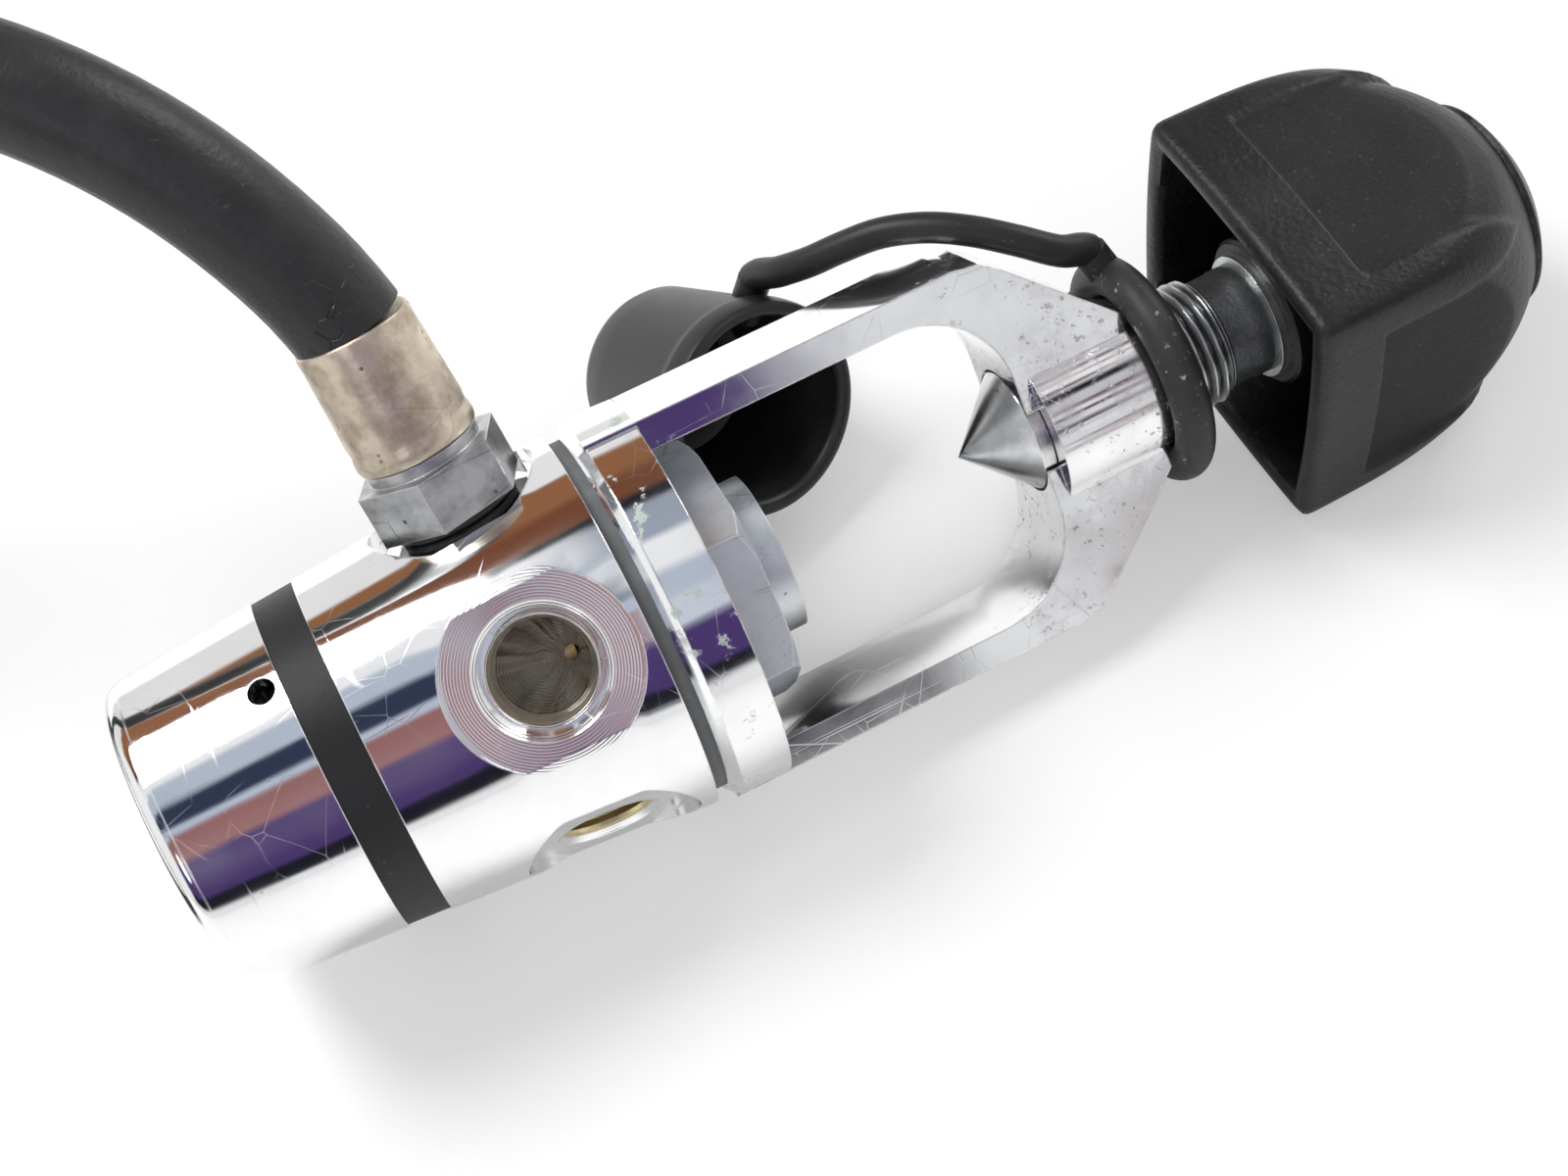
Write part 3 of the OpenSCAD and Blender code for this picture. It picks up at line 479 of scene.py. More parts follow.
def rubber(name, colour, dust, rough=0.48, grain=0.35, depth=0.03, dirt=0.0, cracks=None,
           wave=0.0, sheen=0.35):
    """Matt or satin rubber with a fine skin, dusty spots and scuffs."""
    f = Finish(name)
    cloud = f.noise(6, 4.0, 0.6)
    skin = f.noise(grain, 3.0, 0.6, shift=3)
    dots = f.specks(0.8, 0.13, 4, 0.44, 15)
    scuff = f.noise(1.1, 4.0, 0.7, (0.25, 1, 1), 8).step(0.66, 0.74)
    tone = f.mix(cloud.step(0.42, 0.8) * 0.6, colour, tuple(c * 1.9 + 0.004 for c in colour))
    tone = f.mix((dots * 0.5).most(scuff * 0.3), tone, dust)
    roughness = cloud * 0.16 + skin * 0.08 + (rough - 0.12) + dots * 0.2
    height = skin * 0.6 + cloud * 0.4 + wave * f.noise(2.3, 2.0, 0.5, shift=21)
    if dirt:
        crust = f.noise(1.4, 4.0, 0.7, shift=31).step(0.6, 0.7) * f.noise(5, 2.0, 0.5, shift=33)
        crust = (crust * dirt * 1.6).least(1.0)
        tone = f.mix(crust, tone, (0.42, 0.34, 0.2))
        roughness = roughness + crust * 0.3
    normal = f.bump(height, depth)
    if cracks is not None:
        centre, reach = cracks
        away = f.vector("DISTANCE", f.place, centre, out="Value")
        near = Value(f, away).step(reach, reach * 0.35)
        split = f.cells(2.6, "DISTANCE_TO_EDGE", (1, 0.8, 1), 17).step(0.03, 0.0)
        split = split * near * f.noise(3, 2.0, 0.5, shift=19).step(0.47, 0.56)
        tone = f.mix(split, tone, (0.003, 0.003, 0.003))
        normal = f.bump(1.0 - split, 0.25, normal)
    return f.surface(tone, roughness, 0.0, normal, specular=sheen)


def dress(material, *names):
    """Gives CAD nodes a material."""
    for name in names:
        thing = NODES[name]
        for slot in thing.material_slots:
            slot.material = material


def set_up(thing, material, body, slot, *nodes):
    """A finished piece: its material, the body it rides on and the nodes it stands for."""
    thing.data.materials.append(material)
    if body:
        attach(thing, body)
    if nodes:
        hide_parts(*nodes)
    return thing


# ------------------------------------------------------------------ sizes and colours


def length(name, about, default):
    """A length that the panel shows, given in millimetres."""
    return bpy.props.FloatProperty(name=name, description=about, default=default * MM,
                                   min=0.0, subtype="DISTANCE", unit="LENGTH", precision=5)


def colour(name, about, default):
    """A colour that the panel shows."""
    return bpy.props.FloatVectorProperty(name=name, description=about, default=default,
                                         size=3, min=0.0, max=1.0, subtype="COLOR")


class RegulatorSizes(bpy.types.PropertyGroup):
    """Sizes of the dressed pieces"""

    hose_radius: length("Hose radius", "Outer radius of the low-pressure hose", 5.8)
    strap_radius: length("Strap radius", "Radius of the dust cap's strap at its middle", 1.65)
    thread_pitch: length("Thread pitch", "Pitch of the yoke screw's thread", 1.25)
    thread_depth: length("Thread depth", "Depth of the yoke screw's thread", 0.75)
    ferrule_mouth: length("Ferrule mouth", "Radius of a ferrule's flared foot", 6.45)
    knob_side: length("Knob side", "From the axis to the middle of the knob's side", 17.4)
    knob_corner: length("Knob corner", "From the axis to the knob's rounded corner", 23.6)
    pad_depth: length("Pad depth", "How far the knob's grip pads are recessed", 1.0)


class RegulatorColours(bpy.types.PropertyGroup):
    """Colours of the finishes"""

    chrome: colour("Chrome", "Bright plate of barrel and yoke", (0.86, 0.87, 0.88))
    frosted: colour("Frosted metal", "Matt flats of the yoke retainer", (0.62, 0.65, 0.68))
    steel: colour("Steel", "Yoke screw and fittings", (0.5, 0.51, 0.52))
    brass: colour("Brass", "Turned brass inside the valve", (0.66, 0.5, 0.26))
    champagne: colour("Champagne", "Worn plate of the hose's ferrules", (0.66, 0.58, 0.47))
    rubber: colour("Rubber", "Black rubber of strap and dust cap", (0.009, 0.009, 0.01))
    plastic: colour("Plastic", "Black plastic of the knob", (0.004, 0.004, 0.005))
    floor: colour("Floor", "Pale floor", (0.93, 0.925, 0.915))


def sizes():
    return bpy.context.scene.regulator_sizes


def colours():
    return bpy.context.scene.regulator_colours


# ------------------------------------------------------------------ pieces


class REGULATOR_OT_camera(bpy.types.Operator):
    """Sets up the camera, looking down on the regulator from the front"""

    bl_idname = "regulator.camera"
    bl_label = "Camera"

    def execute(self, context):
        data = bpy.data.cameras.new("camera")
        data.lens = 54.0
        data.sensor_width = 36.0
        data.clip_start = 0.01
        data.clip_end = 20.0
        camera = bpy.data.objects.new("camera", data)
        camera.location = (-0.03691, -0.13911, 0.22609)
        camera.rotation_euler = [math.radians(a) for a in (30.283, 9.475, -26.772)]
        context.scene.collection.objects.link(camera)
        context.scene.camera = camera
        return {"FINISHED"}


# The hose's route from its ferrule to the floor, and the ring it lies in, as in the solids
HOSE_ROOT = (17.5399, 23.6698, 53.6082)
HOSE_LEAN = Vector((-0.179, 0.581, 0.794))
HOSE_ROUTE = (
    (16.4, 26.6, 57.8), (14.1, 30.3, 63.4), (10.7, 34.8, 69.2), (6.5, 39.3, 74.2),
    (1.8, 43.7, 78.1), (-3.7, 48.6, 80.9), (-10.3, 54.1, 82.4), (-18.1, 60.1, 82.5),
    (-26.8, 66.1, 80.2), (-35.5, 71.2, 75.2), (-44.3, 75.2, 67.9), (-51.6, 77.6, 59.4),
    (-58.9, 79.4, 50.2), (-66.6, 80.7, 41.2), (-75.2, 81.5, 32.3), (-85, 81.9, 23.9),
    (-96, 82, 16.3), (-108.5, 82, 9.8),
)
FERRULE_LENGTH = 13.5
COIL_MIDDLE = (-122, 30)
COIL_REST, COIL_RISE = 5.9, 2.25
COIL_START_R, COIL_GROW, COIL_TURNS = 52, 14.5, 1.05
END_HEADING = math.radians(556)
HOSE_OUT = Vector((-0.0414791, 0.599753, 0.79911)).normalized()


def coil_point(turn):
    """A point of the hose's ring, which opens out and lifts at its end."""
    r = COIL_START_R + COIL_GROW * turn
    a = math.radians(90 + 360 * turn)
    lift = max(0.0, (turn - COIL_TURNS + 0.15) / 0.15)
    z = COIL_REST + COIL_RISE * lift * lift * (3 - 2 * lift)
    return (COIL_MIDDLE[0] + r * math.cos(a), COIL_MIDDLE[1] + r * math.sin(a), z)


def hose_path():
    """The hose's centreline in the row frame, in metres."""
    end = Vector((math.cos(END_HEADING), math.sin(END_HEADING), 0))
    steps = 28
    coil = [coil_point(COIL_TURNS * k / steps) for k in range(steps + 1)]
    points = [standing(p) for p in [HOSE_ROOT, *HOSE_ROUTE, *coil]]
    return smooth_route(points, HOSE_LEAN.normalized(), end, 2.5 * MM)


def ferrule_profile(foot, top):
    """Crimped sleeve: flared foot, long taper, rolled lip. Along and radius in mm."""
    far = FERRULE_LENGTH
    return [
        (0.0, 3.0), (0.0, foot - 0.55), (0.25, foot - 0.15), (0.8, foot), (1.5, foot - 0.02),
        (2.1, foot - 0.16), (2.5, foot - 0.17), (3.2, foot - 0.08), (far * 0.5, foot - 0.22),
        (far - 3.2, top + 0.18), (far - 1.6, top + 0.12), (far - 0.6, top + 0.16),
        (far - 0.15, top + 0.08), (far, top - 0.12), (far - 0.1, top - 0.4),
        (far - 2.0, 3.0),
    ]


class REGULATOR_OT_hose(bpy.types.Operator):
    """Lays the hose in its curve and ring, with a crimped ferrule at each end"""

    bl_idname = "regulator.hose"
    bl_label = "Hose"

    def execute(self, context):
        s, c = sizes(), colours()
        path = hose_path()
        radius = s.hose_radius
        crack = Vector(port(HOSE_CLOCK, 17.7, 22)) + Vector((-2, -2, 1))
        black = rubber("hose rubber", tuple(c.rubber), (0.1, 0.1, 0.1), 0.42, 0.7, 0.12,
                       cracks=(tuple(crack), 9.0), wave=0.5, sheen=0.5)
        hose = tube("low_pressure_hose", path, radius, 28)
        set_up(hose, black, "regulator", "hose_rubber", "hose", "hose_coil")
        gold = metal_finish("ferrule plate", tuple(c.champagne), (0.4, 0.33, 0.25), 0.33, 3.2,
                            0.3, 0.5, 0.04, (1, 1, 1), 0.25)
        profile = ferrule_profile(s.ferrule_mouth / MM, 5.95)
        near = lathe("hose_ferrule_sleeve", profile,
                     standing(HOSE_ROOT) - HOSE_OUT * FERRULE_LENGTH * MM, HOSE_OUT)
        set_up(near, gold, "regulator", "ferrule_brass", "hose_ferrule")
        out = Vector((math.cos(END_HEADING), math.sin(END_HEADING), 0))
        tip = standing(coil_point(COIL_TURNS))
        far = lathe("end_ferrule_sleeve", profile, tip + out * FERRULE_LENGTH * MM, -out)
        set_up(far, gold, "regulator", "ferrule_brass", "end_ferrule")
        tuple(standing(HOSE_ROOT))
        route_length(path)
        return {"FINISHED"}


class REGULATOR_OT_barrel(bpy.types.Operator):
    """Finishes the end cap, black band, ported body and washer"""

    bl_idname = "regulator.barrel"
    bl_label = "Barrel"

    def execute(self, context):
        c = colours()
        plate = tuple(c.chrome)
        dress(chrome("barrel chrome", plate), "end_cap")
        dress(chrome("body chrome", plate, ports=True), "regulator_body")
        dress(rubber("band rubber", (0.006, 0.006, 0.007), (0.12, 0.11, 0.1), 0.5, 0.3, 0.04),
              "vent_band")
        dress(rubber("washer", (0.1, 0.105, 0.11), (0.3, 0.3, 0.3), 0.6, 0.4, 0.03),
              "yoke_washer")
        return {"FINISHED"}


class REGULATOR_OT_valve(bpy.types.Operator):
    """Finishes the pieces inside the barrel"""

    bl_idname = "regulator.valve"
    bl_label = "Valve"

    def execute(self, context):
        c = colours()
        brass = metal_finish("turned brass", tuple(c.brass), (0.45, 0.32, 0.15), 0.28, 5, 0.3,
                             0.3, 0.02, (4, 0.3, 0.3), 0.3)
        wire = metal_finish("spring wire", (0.6, 0.6, 0.62), (0.4, 0.4, 0.42), 0.3, 3, 0.3)
        seal = rubber("seal rubber", (0.02, 0.02, 0.02), (0.1, 0.1, 0.1), 0.4, 0.3, 0.01)
        seat = rubber("seat plastic", (0.82, 0.8, 0.72), (0.6, 0.57, 0.5), 0.4, 0.4, 0.01)
        f = Finish("sintered bronze")
        # Painted shade: the gaps between the sintered grains are painted darker than the grains.
        grit = f.cells(0.35)
        tone = f.mix(grit.step(0.1, 0.6), (0.5, 0.4, 0.26), (0.2, 0.15, 0.1))
        bronze = f.surface(tone, grit * 0.2 + 0.5, 0.8, f.bump(1.0 - grit, 0.12))
        dress(brass, "piston", "valve_orifice")
        dress(wire, "main_spring", "filter_circlip", "knob_cross_pin")
        dress(seal, "piston_head_o_ring", "piston_stem_o_ring", "orifice_o_ring",
              "retainer_o_ring", "fitting_o_ring", "end_o_ring")
        dress(seat, "high_pressure_seat")
        dress(bronze, "inlet_filter")
        return {"FINISHED"}


class REGULATOR_OT_yoke(bpy.types.Operator):
    """Finishes the pitted yoke and the frosted retainer"""

    bl_idname = "regulator.yoke"
    bl_label = "Yoke"

    def execute(self, context):
        c = colours()
        dress(chrome("yoke chrome", tuple(c.chrome), 0.09, yoke=True), "yoke")
        dress(metal_finish("frosted retainer", tuple(c.frosted), (0.5, 0.53, 0.56), 0.4, 7,
                           0.25, 0.8, 0.03, (1, 1, 1), 0.4), "yoke_retainer")
        dress(metal_finish("fitting steel", tuple(c.steel), (0.28, 0.28, 0.28), 0.3, 3.5,
                           0.25, 0.9, 0.04, (1, 1, 1), 0.7), "hose_fitting", "end_stem")
        dress(chrome("nut chrome", tuple(c.chrome), haze=0.08), "end_nut")
        return {"FINISHED"}


class REGULATOR_OT_screw(bpy.types.Operator):
    """Cuts the yoke screw's thread and finishes its tip and collar"""

    bl_idname = "regulator.screw"
    bl_label = "Yoke screw"

    def execute(self, context):
        s, c = sizes(), colours()
        pitch, deep = s.thread_pitch / MM, s.thread_depth / MM
        start, end, neck, hub, foot = 75.5, 97.1, 6.2, 103.5, 125.5
        sides, per = 64, 10
        rings = []

        def ring(x, radius):
            rings.append([laid((x, -radius(a) * math.sin(a), radius(a) * math.cos(a)))
                          for a in (2 * math.pi * k / sides for k in range(sides))])

        ring(start, lambda a: 3.1)
        ring(start, lambda a: 6.1)
        count = round((end - start) / pitch * per)
        for i in range(count + 1):
            x = start + (end - start) * i / count
            fade = min(1.0, (end - x) / 0.6, (x - start) / 0.6 + 0.05)

            def radius(a, x=x, fade=fade):
                turn = (x / pitch - a / (2 * math.pi)) % 1.0
                ridge = min(1.0, max(0.0, 1.35 - abs(turn - 0.5) * 3.0))
                return 7.0 - deep * (1.0 - ridge * fade)

            ring(x, radius)
        for x, r in ((end + 0.15, neck + 0.1), (end + 0.4, neck - 0.15), (hub - 3.2, neck - 0.1),
                     (hub - 2.9, neck), (hub, neck), (hub, 5.2), (foot - 0.5, 5.2), (foot, 4.7),
                     (foot, 0.01)):
            ring(x, lambda a, r=r: r)
        ring(start + 5.2, lambda a: 0.01)
        ring(start + 5.2, lambda a: 3.1)
        screw = rings_to_solid("threaded_yoke_screw", rings, 40, close_ends=False, loop=True)
        f = Finish("screw steel")
        cloud = f.noise(3, 4.0, 0.6)
        rad = (f.y * f.y + f.z * f.z).root()
        # Painted shade: the thread's grooves are painted darker than its ridge tops. The neck
        # past the thread's end is also darker.
        ridge = rad.step(6.35, 6.9) * f.x.step(97.4, 97.0)
        tone = f.mix(ridge, (0.09, 0.1, 0.1), tuple(c.steel))
        tone = f.mix(f.x.step(96.9, 97.3), tone, (0.16, 0.17, 0.18))
        tone = f.mix(cloud.step(0.5, 0.8) * 0.5, tone, (0.3, 0.3, 0.28))
        metal = f.surface(tone, cloud * 0.2 + 0.24, 0.9, f.bump(f.noise(0.4, 3.0), 0.03))
        set_up(screw, metal, "hand_screw", "screw_steel", "yoke_screw")
        dress(metal_finish("tip steel", (0.7, 0.71, 0.72), (0.5, 0.51, 0.52), 0.2, 4, 0.25, 0.6,
                           0.02, (6, 0.3, 0.3), 0.3), "screw_tip")
        dress(metal_finish("collar metal", (0.66, 0.69, 0.66), (0.45, 0.47, 0.45), 0.34, 3,
                           0.3, 0.6), "hub_collar")
        return {"FINISHED"}


class REGULATOR_OT_knob(bpy.types.Operator):
    """Moulds the hollow hand knob with its grip pads and domed crown"""

    bl_idname = "regulator.knob"
    bl_label = "Hand knob"

    def execute(self, context):
        s, c = sizes(), colours()
        side, corner, pad = s.knob_side / MM, s.knob_corner / MM, s.pad_depth / MM
        rim, crown, wall, hollow = 100.1, 136.3, 2.8, 127.3
        sides = 240
        arch = 145.0  # radius of the bulge of each side
        dome_in, dome_r = 6.0, math.sqrt(29.6 ** 2 + 4)
        dome_x = crown - math.sqrt(dome_r ** 2 - 7.5 ** 2)
        rings = []

        def soft_least(a, b, k):
            """The lesser of two numbers, blended where they are within k of each other."""
            h = max(0.0, min(1.0, 0.5 + 0.5 * (b - a) / k))
            return b * (1 - h) + a * h - k * h * (1 - h)

        def outline(a, x, inward=0.0):
            """Radius of the knob at an angle about the axis, and how far it is on a side."""
            lean = 1.0 - 0.03 * max(0.0, (x - rim) / (crown - rim)) ** 1.5
            d = (side - inward) * lean
            t = (a + math.pi / 4) % (math.pi / 2) - math.pi / 4
            off = arch - d
            flat = -off * math.cos(t) + math.sqrt(arch ** 2 - (off * math.sin(t)) ** 2)
            return soft_least(flat, (corner - inward) * lean, 1.6), t

        def ring(x, inward=0.0, scale=1.0, pads=False, extra=0.0):
            """Adds a ring of the shell: inside where inward is given, else outside."""
            points = []
            for k in range(sides):
                a = 2 * math.pi * k / sides
                r, t = outline(a, x, inward)
                reach = dome_r ** 2 - max(0.0, x - dome_x) ** 2
                rise = max(0.0, (x - rim) / (crown - rim))
                under = dome_in + (2.4 if inward else 0.0)
                r = soft_least(r, math.sqrt(max(reach, 0.01)) - under, 1.2 + 5 * rise ** 1.5)
                if pads:
                    across = abs(r * math.sin(t))
                    lip = 11.9 - max(0.0, x - (rim + 24)) ** 2 * 0.03
                    w = max(0.0, min(1.0, (lip + 0.35 - across) / 0.7))
                    v = max(0.0, min(1.0, (x - rim - 7.1) / 0.7))
                    e = max(0.0, min(1.0, (rim + 31.2 - x) / 0.7))
                    m = min(w, v, e)
                    r -= pad * m * m * (3 - 2 * m)
                r = (r - extra) * scale
                points.append(laid((x, -r * math.sin(a), r * math.cos(a))))
            rings.append(points)

        for x in (hollow, hollow - 2, rim + 12, rim + 4, rim + 1.2):
            ring(x, wall)
        ring(rim + 0.35, wall - 0.2)
        for x, extra in ((rim + 0.05, 2.2), (rim, 1.5), (rim + 0.05, 0.9), (rim + 0.3, 0.4),
                         (rim + 0.8, 0.1)):
            ring(x, extra=extra)
        stations = [rim + 1.6 + 0.55 * k for k in range(9)]
        stations += [rim + 6.6 + 0.22 * k for k in range(8)]
        x = stations[-1]
        while x < crown - 0.6:
            x += 0.5 if x < crown - 6 else 0.3
            stations.append(x)
        for x in stations:
            ring(x, pads=True)
        last = stations[-1]
        for k in range(1, 5):
            ring(last + (crown - last) * math.sin(k * math.pi / 8), scale=1 - k / 4.01)
        shell = rings_to_solid("hand_knob_shell", rings, 50)

        hub = lathe("hand_knob_hub", [(0, 5.3), (0, 8.0), (0.4, 8.4), (24.2, 8.4), (24.2, 5.3)],
                    laid((103.5, 0, 0)), AXIS_X, 72)
        ribs = []
        for k in range(4):
            a = math.radians(45 + 90 * k)
            out = Vector((0, -math.sin(a), math.cos(a)))
            across = Vector((0, math.cos(a), math.sin(a)))
            corners = []
            for x, t, far in ((108.5, 0.7, 20.0), (109.2, 0.9, 20.2), (118, 1.0, 18.6),
                              (127.8, 1.1, 13.5)):
                corners.append([laid(Vector((x, 0, 0)) + out * r + across * u)
                                for r, u in ((7.6, -t), (far, -t), (far, t), (7.6, t))])
            ribs.append(rings_to_solid("rib", corners, 30))
        rib = ribs[0]
        rib.name = rib.data.name = "hand_knob_ribs"
        bm = bmesh.new()
        for one in ribs:
            bm.from_mesh(one.data)
        bm.to_mesh(rib.data)
        bm.free()
        for one in ribs[1:]:
            bpy.data.objects.remove(one)

        f = Finish("grained knob plastic")
        grain = f.noise(0.45, 4.0, 0.65)
        pebble = f.cells(0.8, "F1", shift=3)
        cloud = f.noise(8, 4.0, 0.6, shift=9)
        across = abs(f.y).least(abs(f.z))
        level = abs(f.y).most(abs(f.z))
        on_pad = (across.step(12.2, 11.6) * f.x.step(rim + 7, rim + 8) * level.step(15.2, 15.6)
                  * f.x.step(rim + 31, rim + 30))
        rubbed = f.edges(0.8) * f.noise(2.5, 3.0, 0.6).step(0.4, 0.65)
        dust = f.specks(0.7, 0.2, 3, 0.5, 40)
        tone = f.mix(cloud.step(0.4, 0.75) * 0.5, tuple(c.plastic), (0.016, 0.016, 0.017))
        tone = f.mix(on_pad * grain.step(0.5, 0.75) * 0.6, tone, (0.035, 0.033, 0.03))
        tone = f.mix((rubbed * 0.4).most(dust * 0.25), tone, (0.12, 0.12, 0.115))
        rough = cloud * 0.2 + 0.3 + on_pad * 0.22 + rubbed * 0.05
        height = grain * (0.45 + on_pad * 0.55) + pebble * 0.35
        plastic = f.surface(tone, rough, 0.0, f.bump(height, 0.12), specular=0.32)
        set_up(shell, plastic, "hand_screw", "black_plastic", "knob")
        for piece in (hub, rib):
            set_up(piece, plastic, "hand_screw", "black_plastic")
        return {"FINISHED"}


# The strap's route from its ring to the lug on the dust cap
STRAP_FROM, STRAP_TO = (88.6, 8.4, 30.2), (58.6, 29.3, 24.8)
STRAP_ROUTE = ((85.4, 8.6, 32.3), (81.8, 10.9, 34.2), (78.3, 13.9, 35.1), (74.6, 16.8, 35.3),
               (70.5, 19.5, 34.5), (66.6, 21.5, 32.8), (63.3, 23.3, 30.8), (60.6, 25.8, 28.4))
STRAP_ROOT = (89.7723, 6.67993, 26.9793)
CAP_LUG = (56.9, 29.2, 21.5)


class REGULATOR_OT_strap(bpy.types.Operator):
    """Runs the strap from the ring on the yoke's neck to the dust cap"""

    bl_idname = "regulator.strap"
    bl_label = "Strap"

    def execute(self, context):
        s, c = sizes(), colours()
        start = Vector(STRAP_FROM) - Vector(STRAP_ROOT)
        end = Vector(CAP_LUG) - Vector(STRAP_TO)
        path = smooth_route([standing(p) for p in (STRAP_FROM, *STRAP_ROUTE, STRAP_TO)],
                            start.normalized(), end.normalized(), 0.8 * MM)
        r = s.strap_radius
        strap = tube("dust_cap_strap", path,
                     lambda u: r * (1.0 + 0.12 * math.exp(-u * 14)
                                    + 0.16 * math.exp(-(1 - u) * 14)), 20)
        black = rubber("strap rubber", tuple(c.rubber), (0.12, 0.11, 0.1), 0.45, 0.3, 0.03)
        set_up(strap, black, None, "black_rubber", "cap_strap")
        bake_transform(strap)
        dress(rubber("ring rubber", (0.018, 0.018, 0.019), (0.2, 0.18, 0.15), 0.5, 0.3, 0.05,
                     dirt=0.9), "strap_ring")
        return {"FINISHED"}


DUST_MOUTH = (52.8, 17.9, 17.9)
DUST_AXIS = Vector((0.318675, -0.852335, 0.414693)).normalized()


class REGULATOR_OT_dust_cap(bpy.types.Operator):
    """Moulds the dust cap with the rings inside its mouth, and its lug"""

    bl_idname = "regulator.dust_cap"
    bl_label = "Dust cap"

    def execute(self, context):
        c = colours()
        outside = [(-23, 0.01), (-23, 5.5), (-22.8, 7.2), (-22.2, 8.7), (-21.2, 9.7),
                   (-20, 10.2), (-17, 10.5), (-11, 11.1), (-4.4, 11.75), (-3.6, 11.85),
                   (-3.2, 12.15), (-2.8, 12.2), (-0.8, 12.2), (-0.25, 12.05), (0, 11.6)]
        inside = [(0, 10.9), (-0.3, 10.5), (-1.0, 10.3), (-2.2, 10.2), (-2.6, 9.95),
                  (-10, 9.4), (-15.5, 8.75), (-16.2, 8.6), (-16.5, 8.2), (-16.6, 6.4),
                  (-16.9, 6.1), (-18.6, 5.9), (-18.9, 5.6), (-18.9, 4.6), (-18.5, 4.4),
                  (-18.5, 3.9), (-18.9, 3.7), (-18.9, 2.2), (-18.6, 2.0), (-18.55, 0.01)]
        cap = lathe("dust_cap_cup", outside + inside, standing(DUST_MOUTH), DUST_AXIS, 112, 40)
        lug = tube("dust_cap_lug", smooth_route(
            [standing(CAP_LUG) - Vector((0.4, 0.0, 1.6)) * MM, standing(CAP_LUG),
             standing(STRAP_TO)], step=0.6 * MM), 1.9 * MM, 24)
        black = rubber("dust cap rubber", tuple(c.rubber), (0.1, 0.1, 0.095), 0.4, 0.3, 0.03,
                       sheen=0.5)
        set_up(cap, black, "dust_cap", "black_rubber", "dust_cap")
        set_up(lug, black, "dust_cap", "black_rubber")
        return {"FINISHED"}


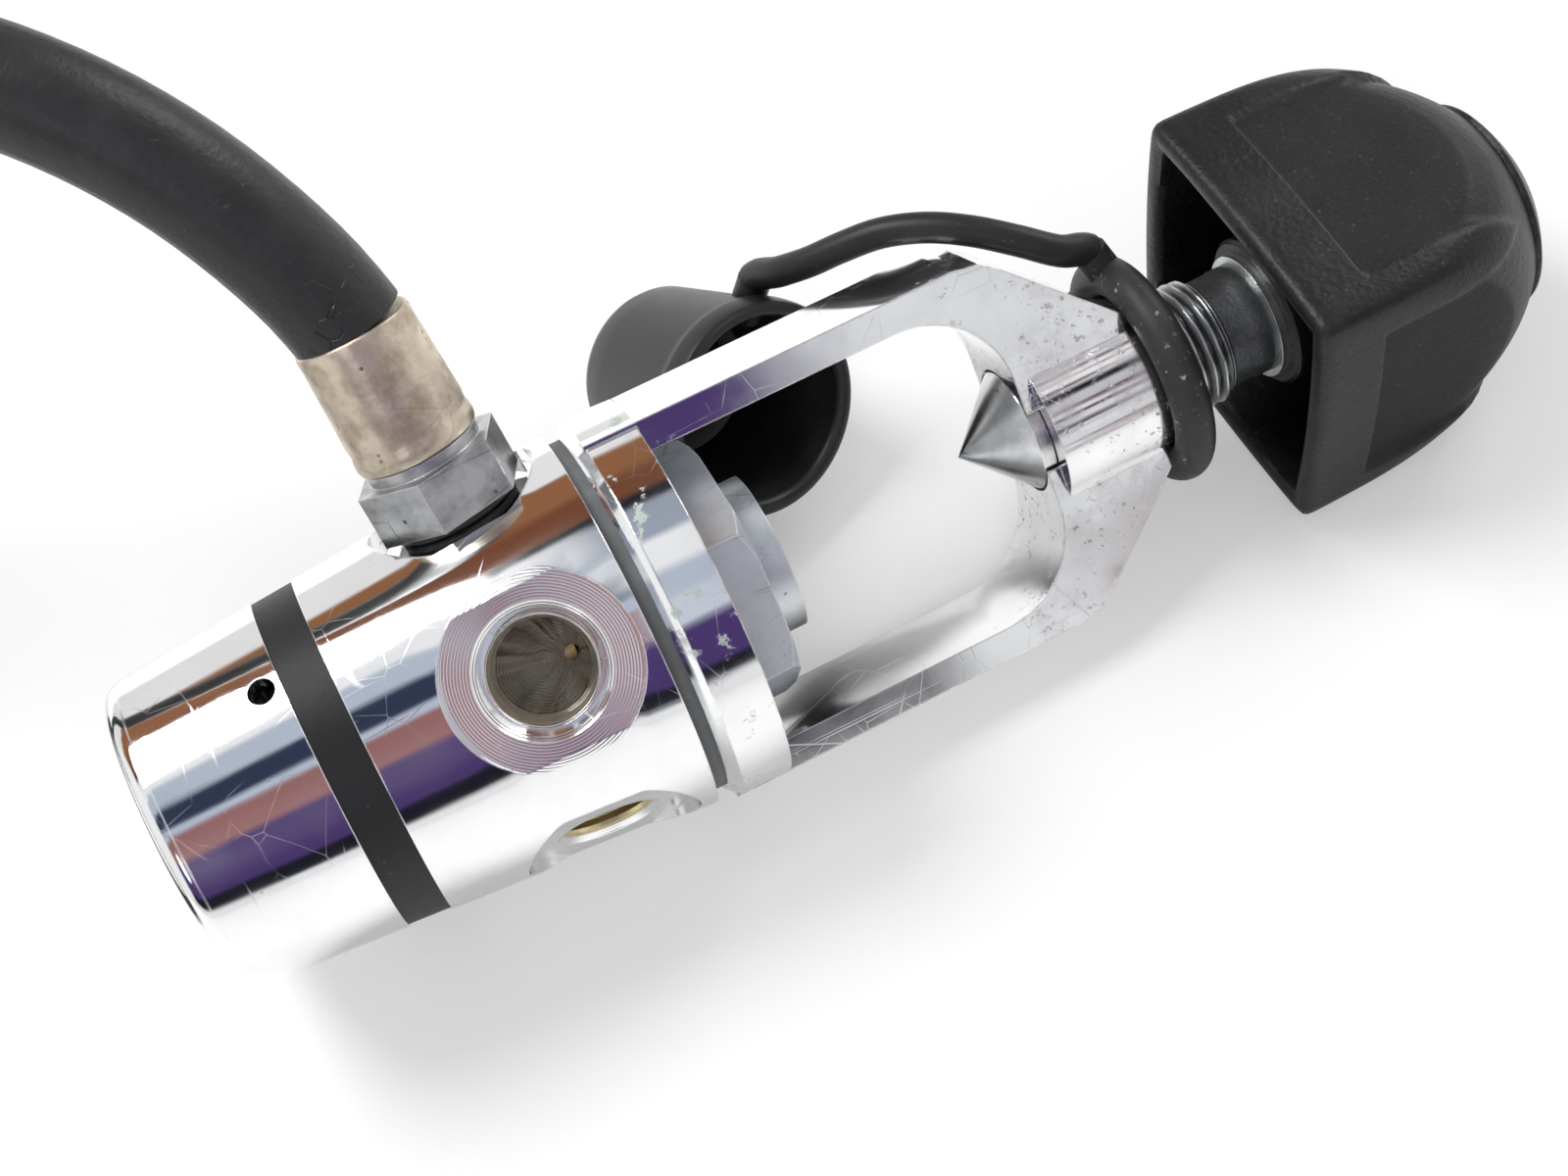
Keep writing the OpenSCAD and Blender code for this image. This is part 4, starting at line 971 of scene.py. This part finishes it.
class REGULATOR_OT_stage(bpy.types.Operator):
    """Lays the pale floor and sets the soft lamps and the reflection tent"""

    bl_idname = "regulator.stage"
    bl_label = "Floor and light"

    def execute(self, context):
        c = colours()
        scene = context.scene
        scene.view_settings.view_transform = "Standard"
        floor = solid("floor", [(-3, -3, 0), (3, -3, 0), (3, 3, 0), (-3, 3, 0)], [(0, 1, 2, 3)])
        f = Finish("pale floor")
        seen = Value(f, f.node("ShaderNodeLightPath").outputs["Is Camera Ray"])
        soft = f.noise(60, 3.0, 0.5)
        tone = f.mix(soft, tuple(c.floor), tuple(v * 0.985 for v in c.floor))
        matt = f.node("ShaderNodeBsdfDiffuse", None, {"Color": tone})
        glow = f.node("ShaderNodeEmission", None, {"Color": (0.97, 0.96, 0.965), "Strength": 0.9})
        both = f.node("ShaderNodeMixShader", None,
                      {0: seen * 0.36, 1: matt.outputs[0], 2: glow.outputs[0]})
        f.node("ShaderNodeOutputMaterial", None, {0: both.outputs[0]})
        floor.data.materials.append(f.material)

        # A half-round tent that only shiny pieces see: bands of dark and light round the barrel
        radius, half, n = 0.75, 0.9, 101
        edge = [math.radians(-100 + 2 * k) for k in range(n)]
        tent = solid("reflection_tent",
                     [(x, -radius * math.sin(a), radius * math.cos(a))
                      for x in (-half, half) for a in edge],
                     [(k, k + 1, n + k + 1, n + k) for k in range(n - 1)], 90)
        t = Finish("tent cloth")
        at = t.node("ShaderNodeTexCoord").outputs["Object"]
        split = t.node("ShaderNodeSeparateXYZ", None, {0: at})
        y, z = Value(t, split.outputs[1]), Value(t, split.outputs[2])
        clock = y.math("ARCTAN2", 0.0 - y, z) / math.pi + 0.5
        wobble = t.noise(160, 2.0, 0.5)
        clock = clock + (wobble - 0.5) * 0.05 + (t.noise(45, 2.0, 0.5) - 0.5) * 0.02

        def at_clock(degrees):
            """Place on the ramp of an angle about the barrel."""
            return degrees / 180 + 0.5

        white, brown, umber = (0.92, 0.92, 0.93), (0.3, 0.13, 0.06), (0.19, 0.07, 0.035)
        ink, navy, violet = (0.012, 0.013, 0.02), (0.035, 0.045, 0.085), (0.075, 0.042, 0.16)
        salmon, blue = (0.33, 0.15, 0.15), (0.5, 0.56, 0.66)

        def bands(*edges):
            """Ramp of colours by clock angle, each given with its two ends."""
            stops = [(0.0, white)]
            for start, end, tint in edges:
                stops += [(at_clock(start), tint), (at_clock(end), tint)]
            return t.node("ShaderNodeValToRGB", {"stops": stops + [(1.0, white)]},
                          {0: clock}).outputs[0]

        cap = bands((-90, -63, (0.85, 0.84, 0.83)), (-60, -46, brown), (-40, -29, umber),
                    (-27, -24, ink), (-21, -6, white), (-2, 8, blue), (11, 21, navy),
                    (24, 28, blue), (31, 46, salmon), (49, 74, violet), (76, 83, ink),
                    (86, 90, white))
        body = bands((-90, -63, (0.88, 0.87, 0.86)), (-60, -46, brown), (-40, -29, umber),
                     (-27, -21, ink), (-18, -4, (0.36, 0.4, 0.48)), (0, 16, white),
                     (20, 30, blue), (34, 48, (0.62, 0.66, 0.74)), (52, 70, violet),
                     (73, 80, ink), (84, 90, white))
        fork = bands((-90, -50, white), (-46, -38, umber), (-34, -10, (0.7, 0.72, 0.76)),
                     (-6, 14, white), (18, 22, ink), (26, 36, (0.6, 0.6, 0.64)),
                     (40, 78, (0.8, 0.81, 0.83)), (84, 90, white))
        along = Value(t, split.outputs[0])
        stain = t.noise(70, 3.0, 0.6, (0.5, 1, 1), 5)
        fork = t.mix(stain.step(0.5, 0.55) * 0.9, fork, (0.24, 0.12, 0.14))
        fork = t.mix(stain.step(0.58, 0.61), fork, navy)
        tint = t.mix(along.step(-0.07, -0.03), cap, body)
        tint = t.mix(along.step(0.12, 0.17), tint, fork)
        shine = t.node("ShaderNodeEmission", None, {"Color": tint, "Strength": 1.0})
        t.node("ShaderNodeOutputMaterial", None, {0: shine.outputs[0]})
        tent.data.materials.append(t.material)
        tent.visible_camera = tent.visible_diffuse = tent.visible_shadow = False
        tent.visible_transmission = tent.visible_volume_scatter = False

        for name, place, size, power in (
            ("window lamp", (-0.25, 0.28, 0.6), 0.35, 3.4),
            ("side lamp", (0.55, 0.25, 0.45), 0.3, 1.2),
            ("front lamp", (-0.3, -0.6, 0.5), 0.4, 1.4),
        ):
            data = bpy.data.lights.new(name, "AREA")
            data.shape = "DISK"
            data.size = size
            data.energy = power
            lamp = bpy.data.objects.new(name, data)
            lamp.location = place
            aim = Vector((0, 0, 0.02)) - Vector(place)
            lamp.rotation_euler = aim.to_track_quat("-Z", "Y").to_euler()
            scene.collection.objects.link(lamp)

        world = bpy.data.worlds.new("plain world")
        scene.world = world
        w = Finish("plain world", world)
        path = w.node("ShaderNodeLightPath")
        clear = (Value(w, path.outputs["Is Camera Ray"])
                 .most(Value(w, path.outputs["Is Glossy Ray"]))
                 .most(Value(w, path.outputs["Is Transmission Ray"])))
        back = w.node("ShaderNodeBackground", None,
                      {"Color": (1.0, 1.0, 1.0), "Strength": clear * 0.45 + 0.55})
        w.node("ShaderNodeOutputWorld", None, {0: back.outputs[0]})
        return {"FINISHED"}


class REGULATOR_PT_panel(bpy.types.Panel):
    """The regulator's pieces, sizes and colours"""

    bl_idname = "REGULATOR_PT_panel"
    bl_label = "Diving regulator"
    bl_space_type = "VIEW_3D"
    bl_region_type = "UI"
    bl_category = "Regulator"

    def draw(self, context):
        layout = self.layout
        for operator in PIECES:
            layout.operator(operator.bl_idname)
        for group in (context.scene.regulator_sizes, context.scene.regulator_colours):
            column = layout.column(align=True)
            for name in group.__annotations__:
                column.prop(group, name)


PIECES = (
    REGULATOR_OT_camera,
    REGULATOR_OT_hose,
    REGULATOR_OT_barrel,
    REGULATOR_OT_valve,
    REGULATOR_OT_yoke,
    REGULATOR_OT_screw,
    REGULATOR_OT_knob,
    REGULATOR_OT_strap,
    REGULATOR_OT_dust_cap,
    REGULATOR_OT_stage,
)
CLASSES = (RegulatorSizes, RegulatorColours, *PIECES, REGULATOR_PT_panel)


def register():
    for one in CLASSES:
        bpy.utils.register_class(one)
    bpy.types.Scene.regulator_sizes = bpy.props.PointerProperty(type=RegulatorSizes)
    bpy.types.Scene.regulator_colours = bpy.props.PointerProperty(type=RegulatorColours)


def unregister():
    del bpy.types.Scene.regulator_colours
    del bpy.types.Scene.regulator_sizes
    for one in reversed(CLASSES):
        bpy.utils.unregister_class(one)


def main():
    register()
    for operator in PIECES:
        group, name = operator.bl_idname.split(".")
        getattr(getattr(bpy.ops, group), name)()


if __name__ == "__main__":
    main()
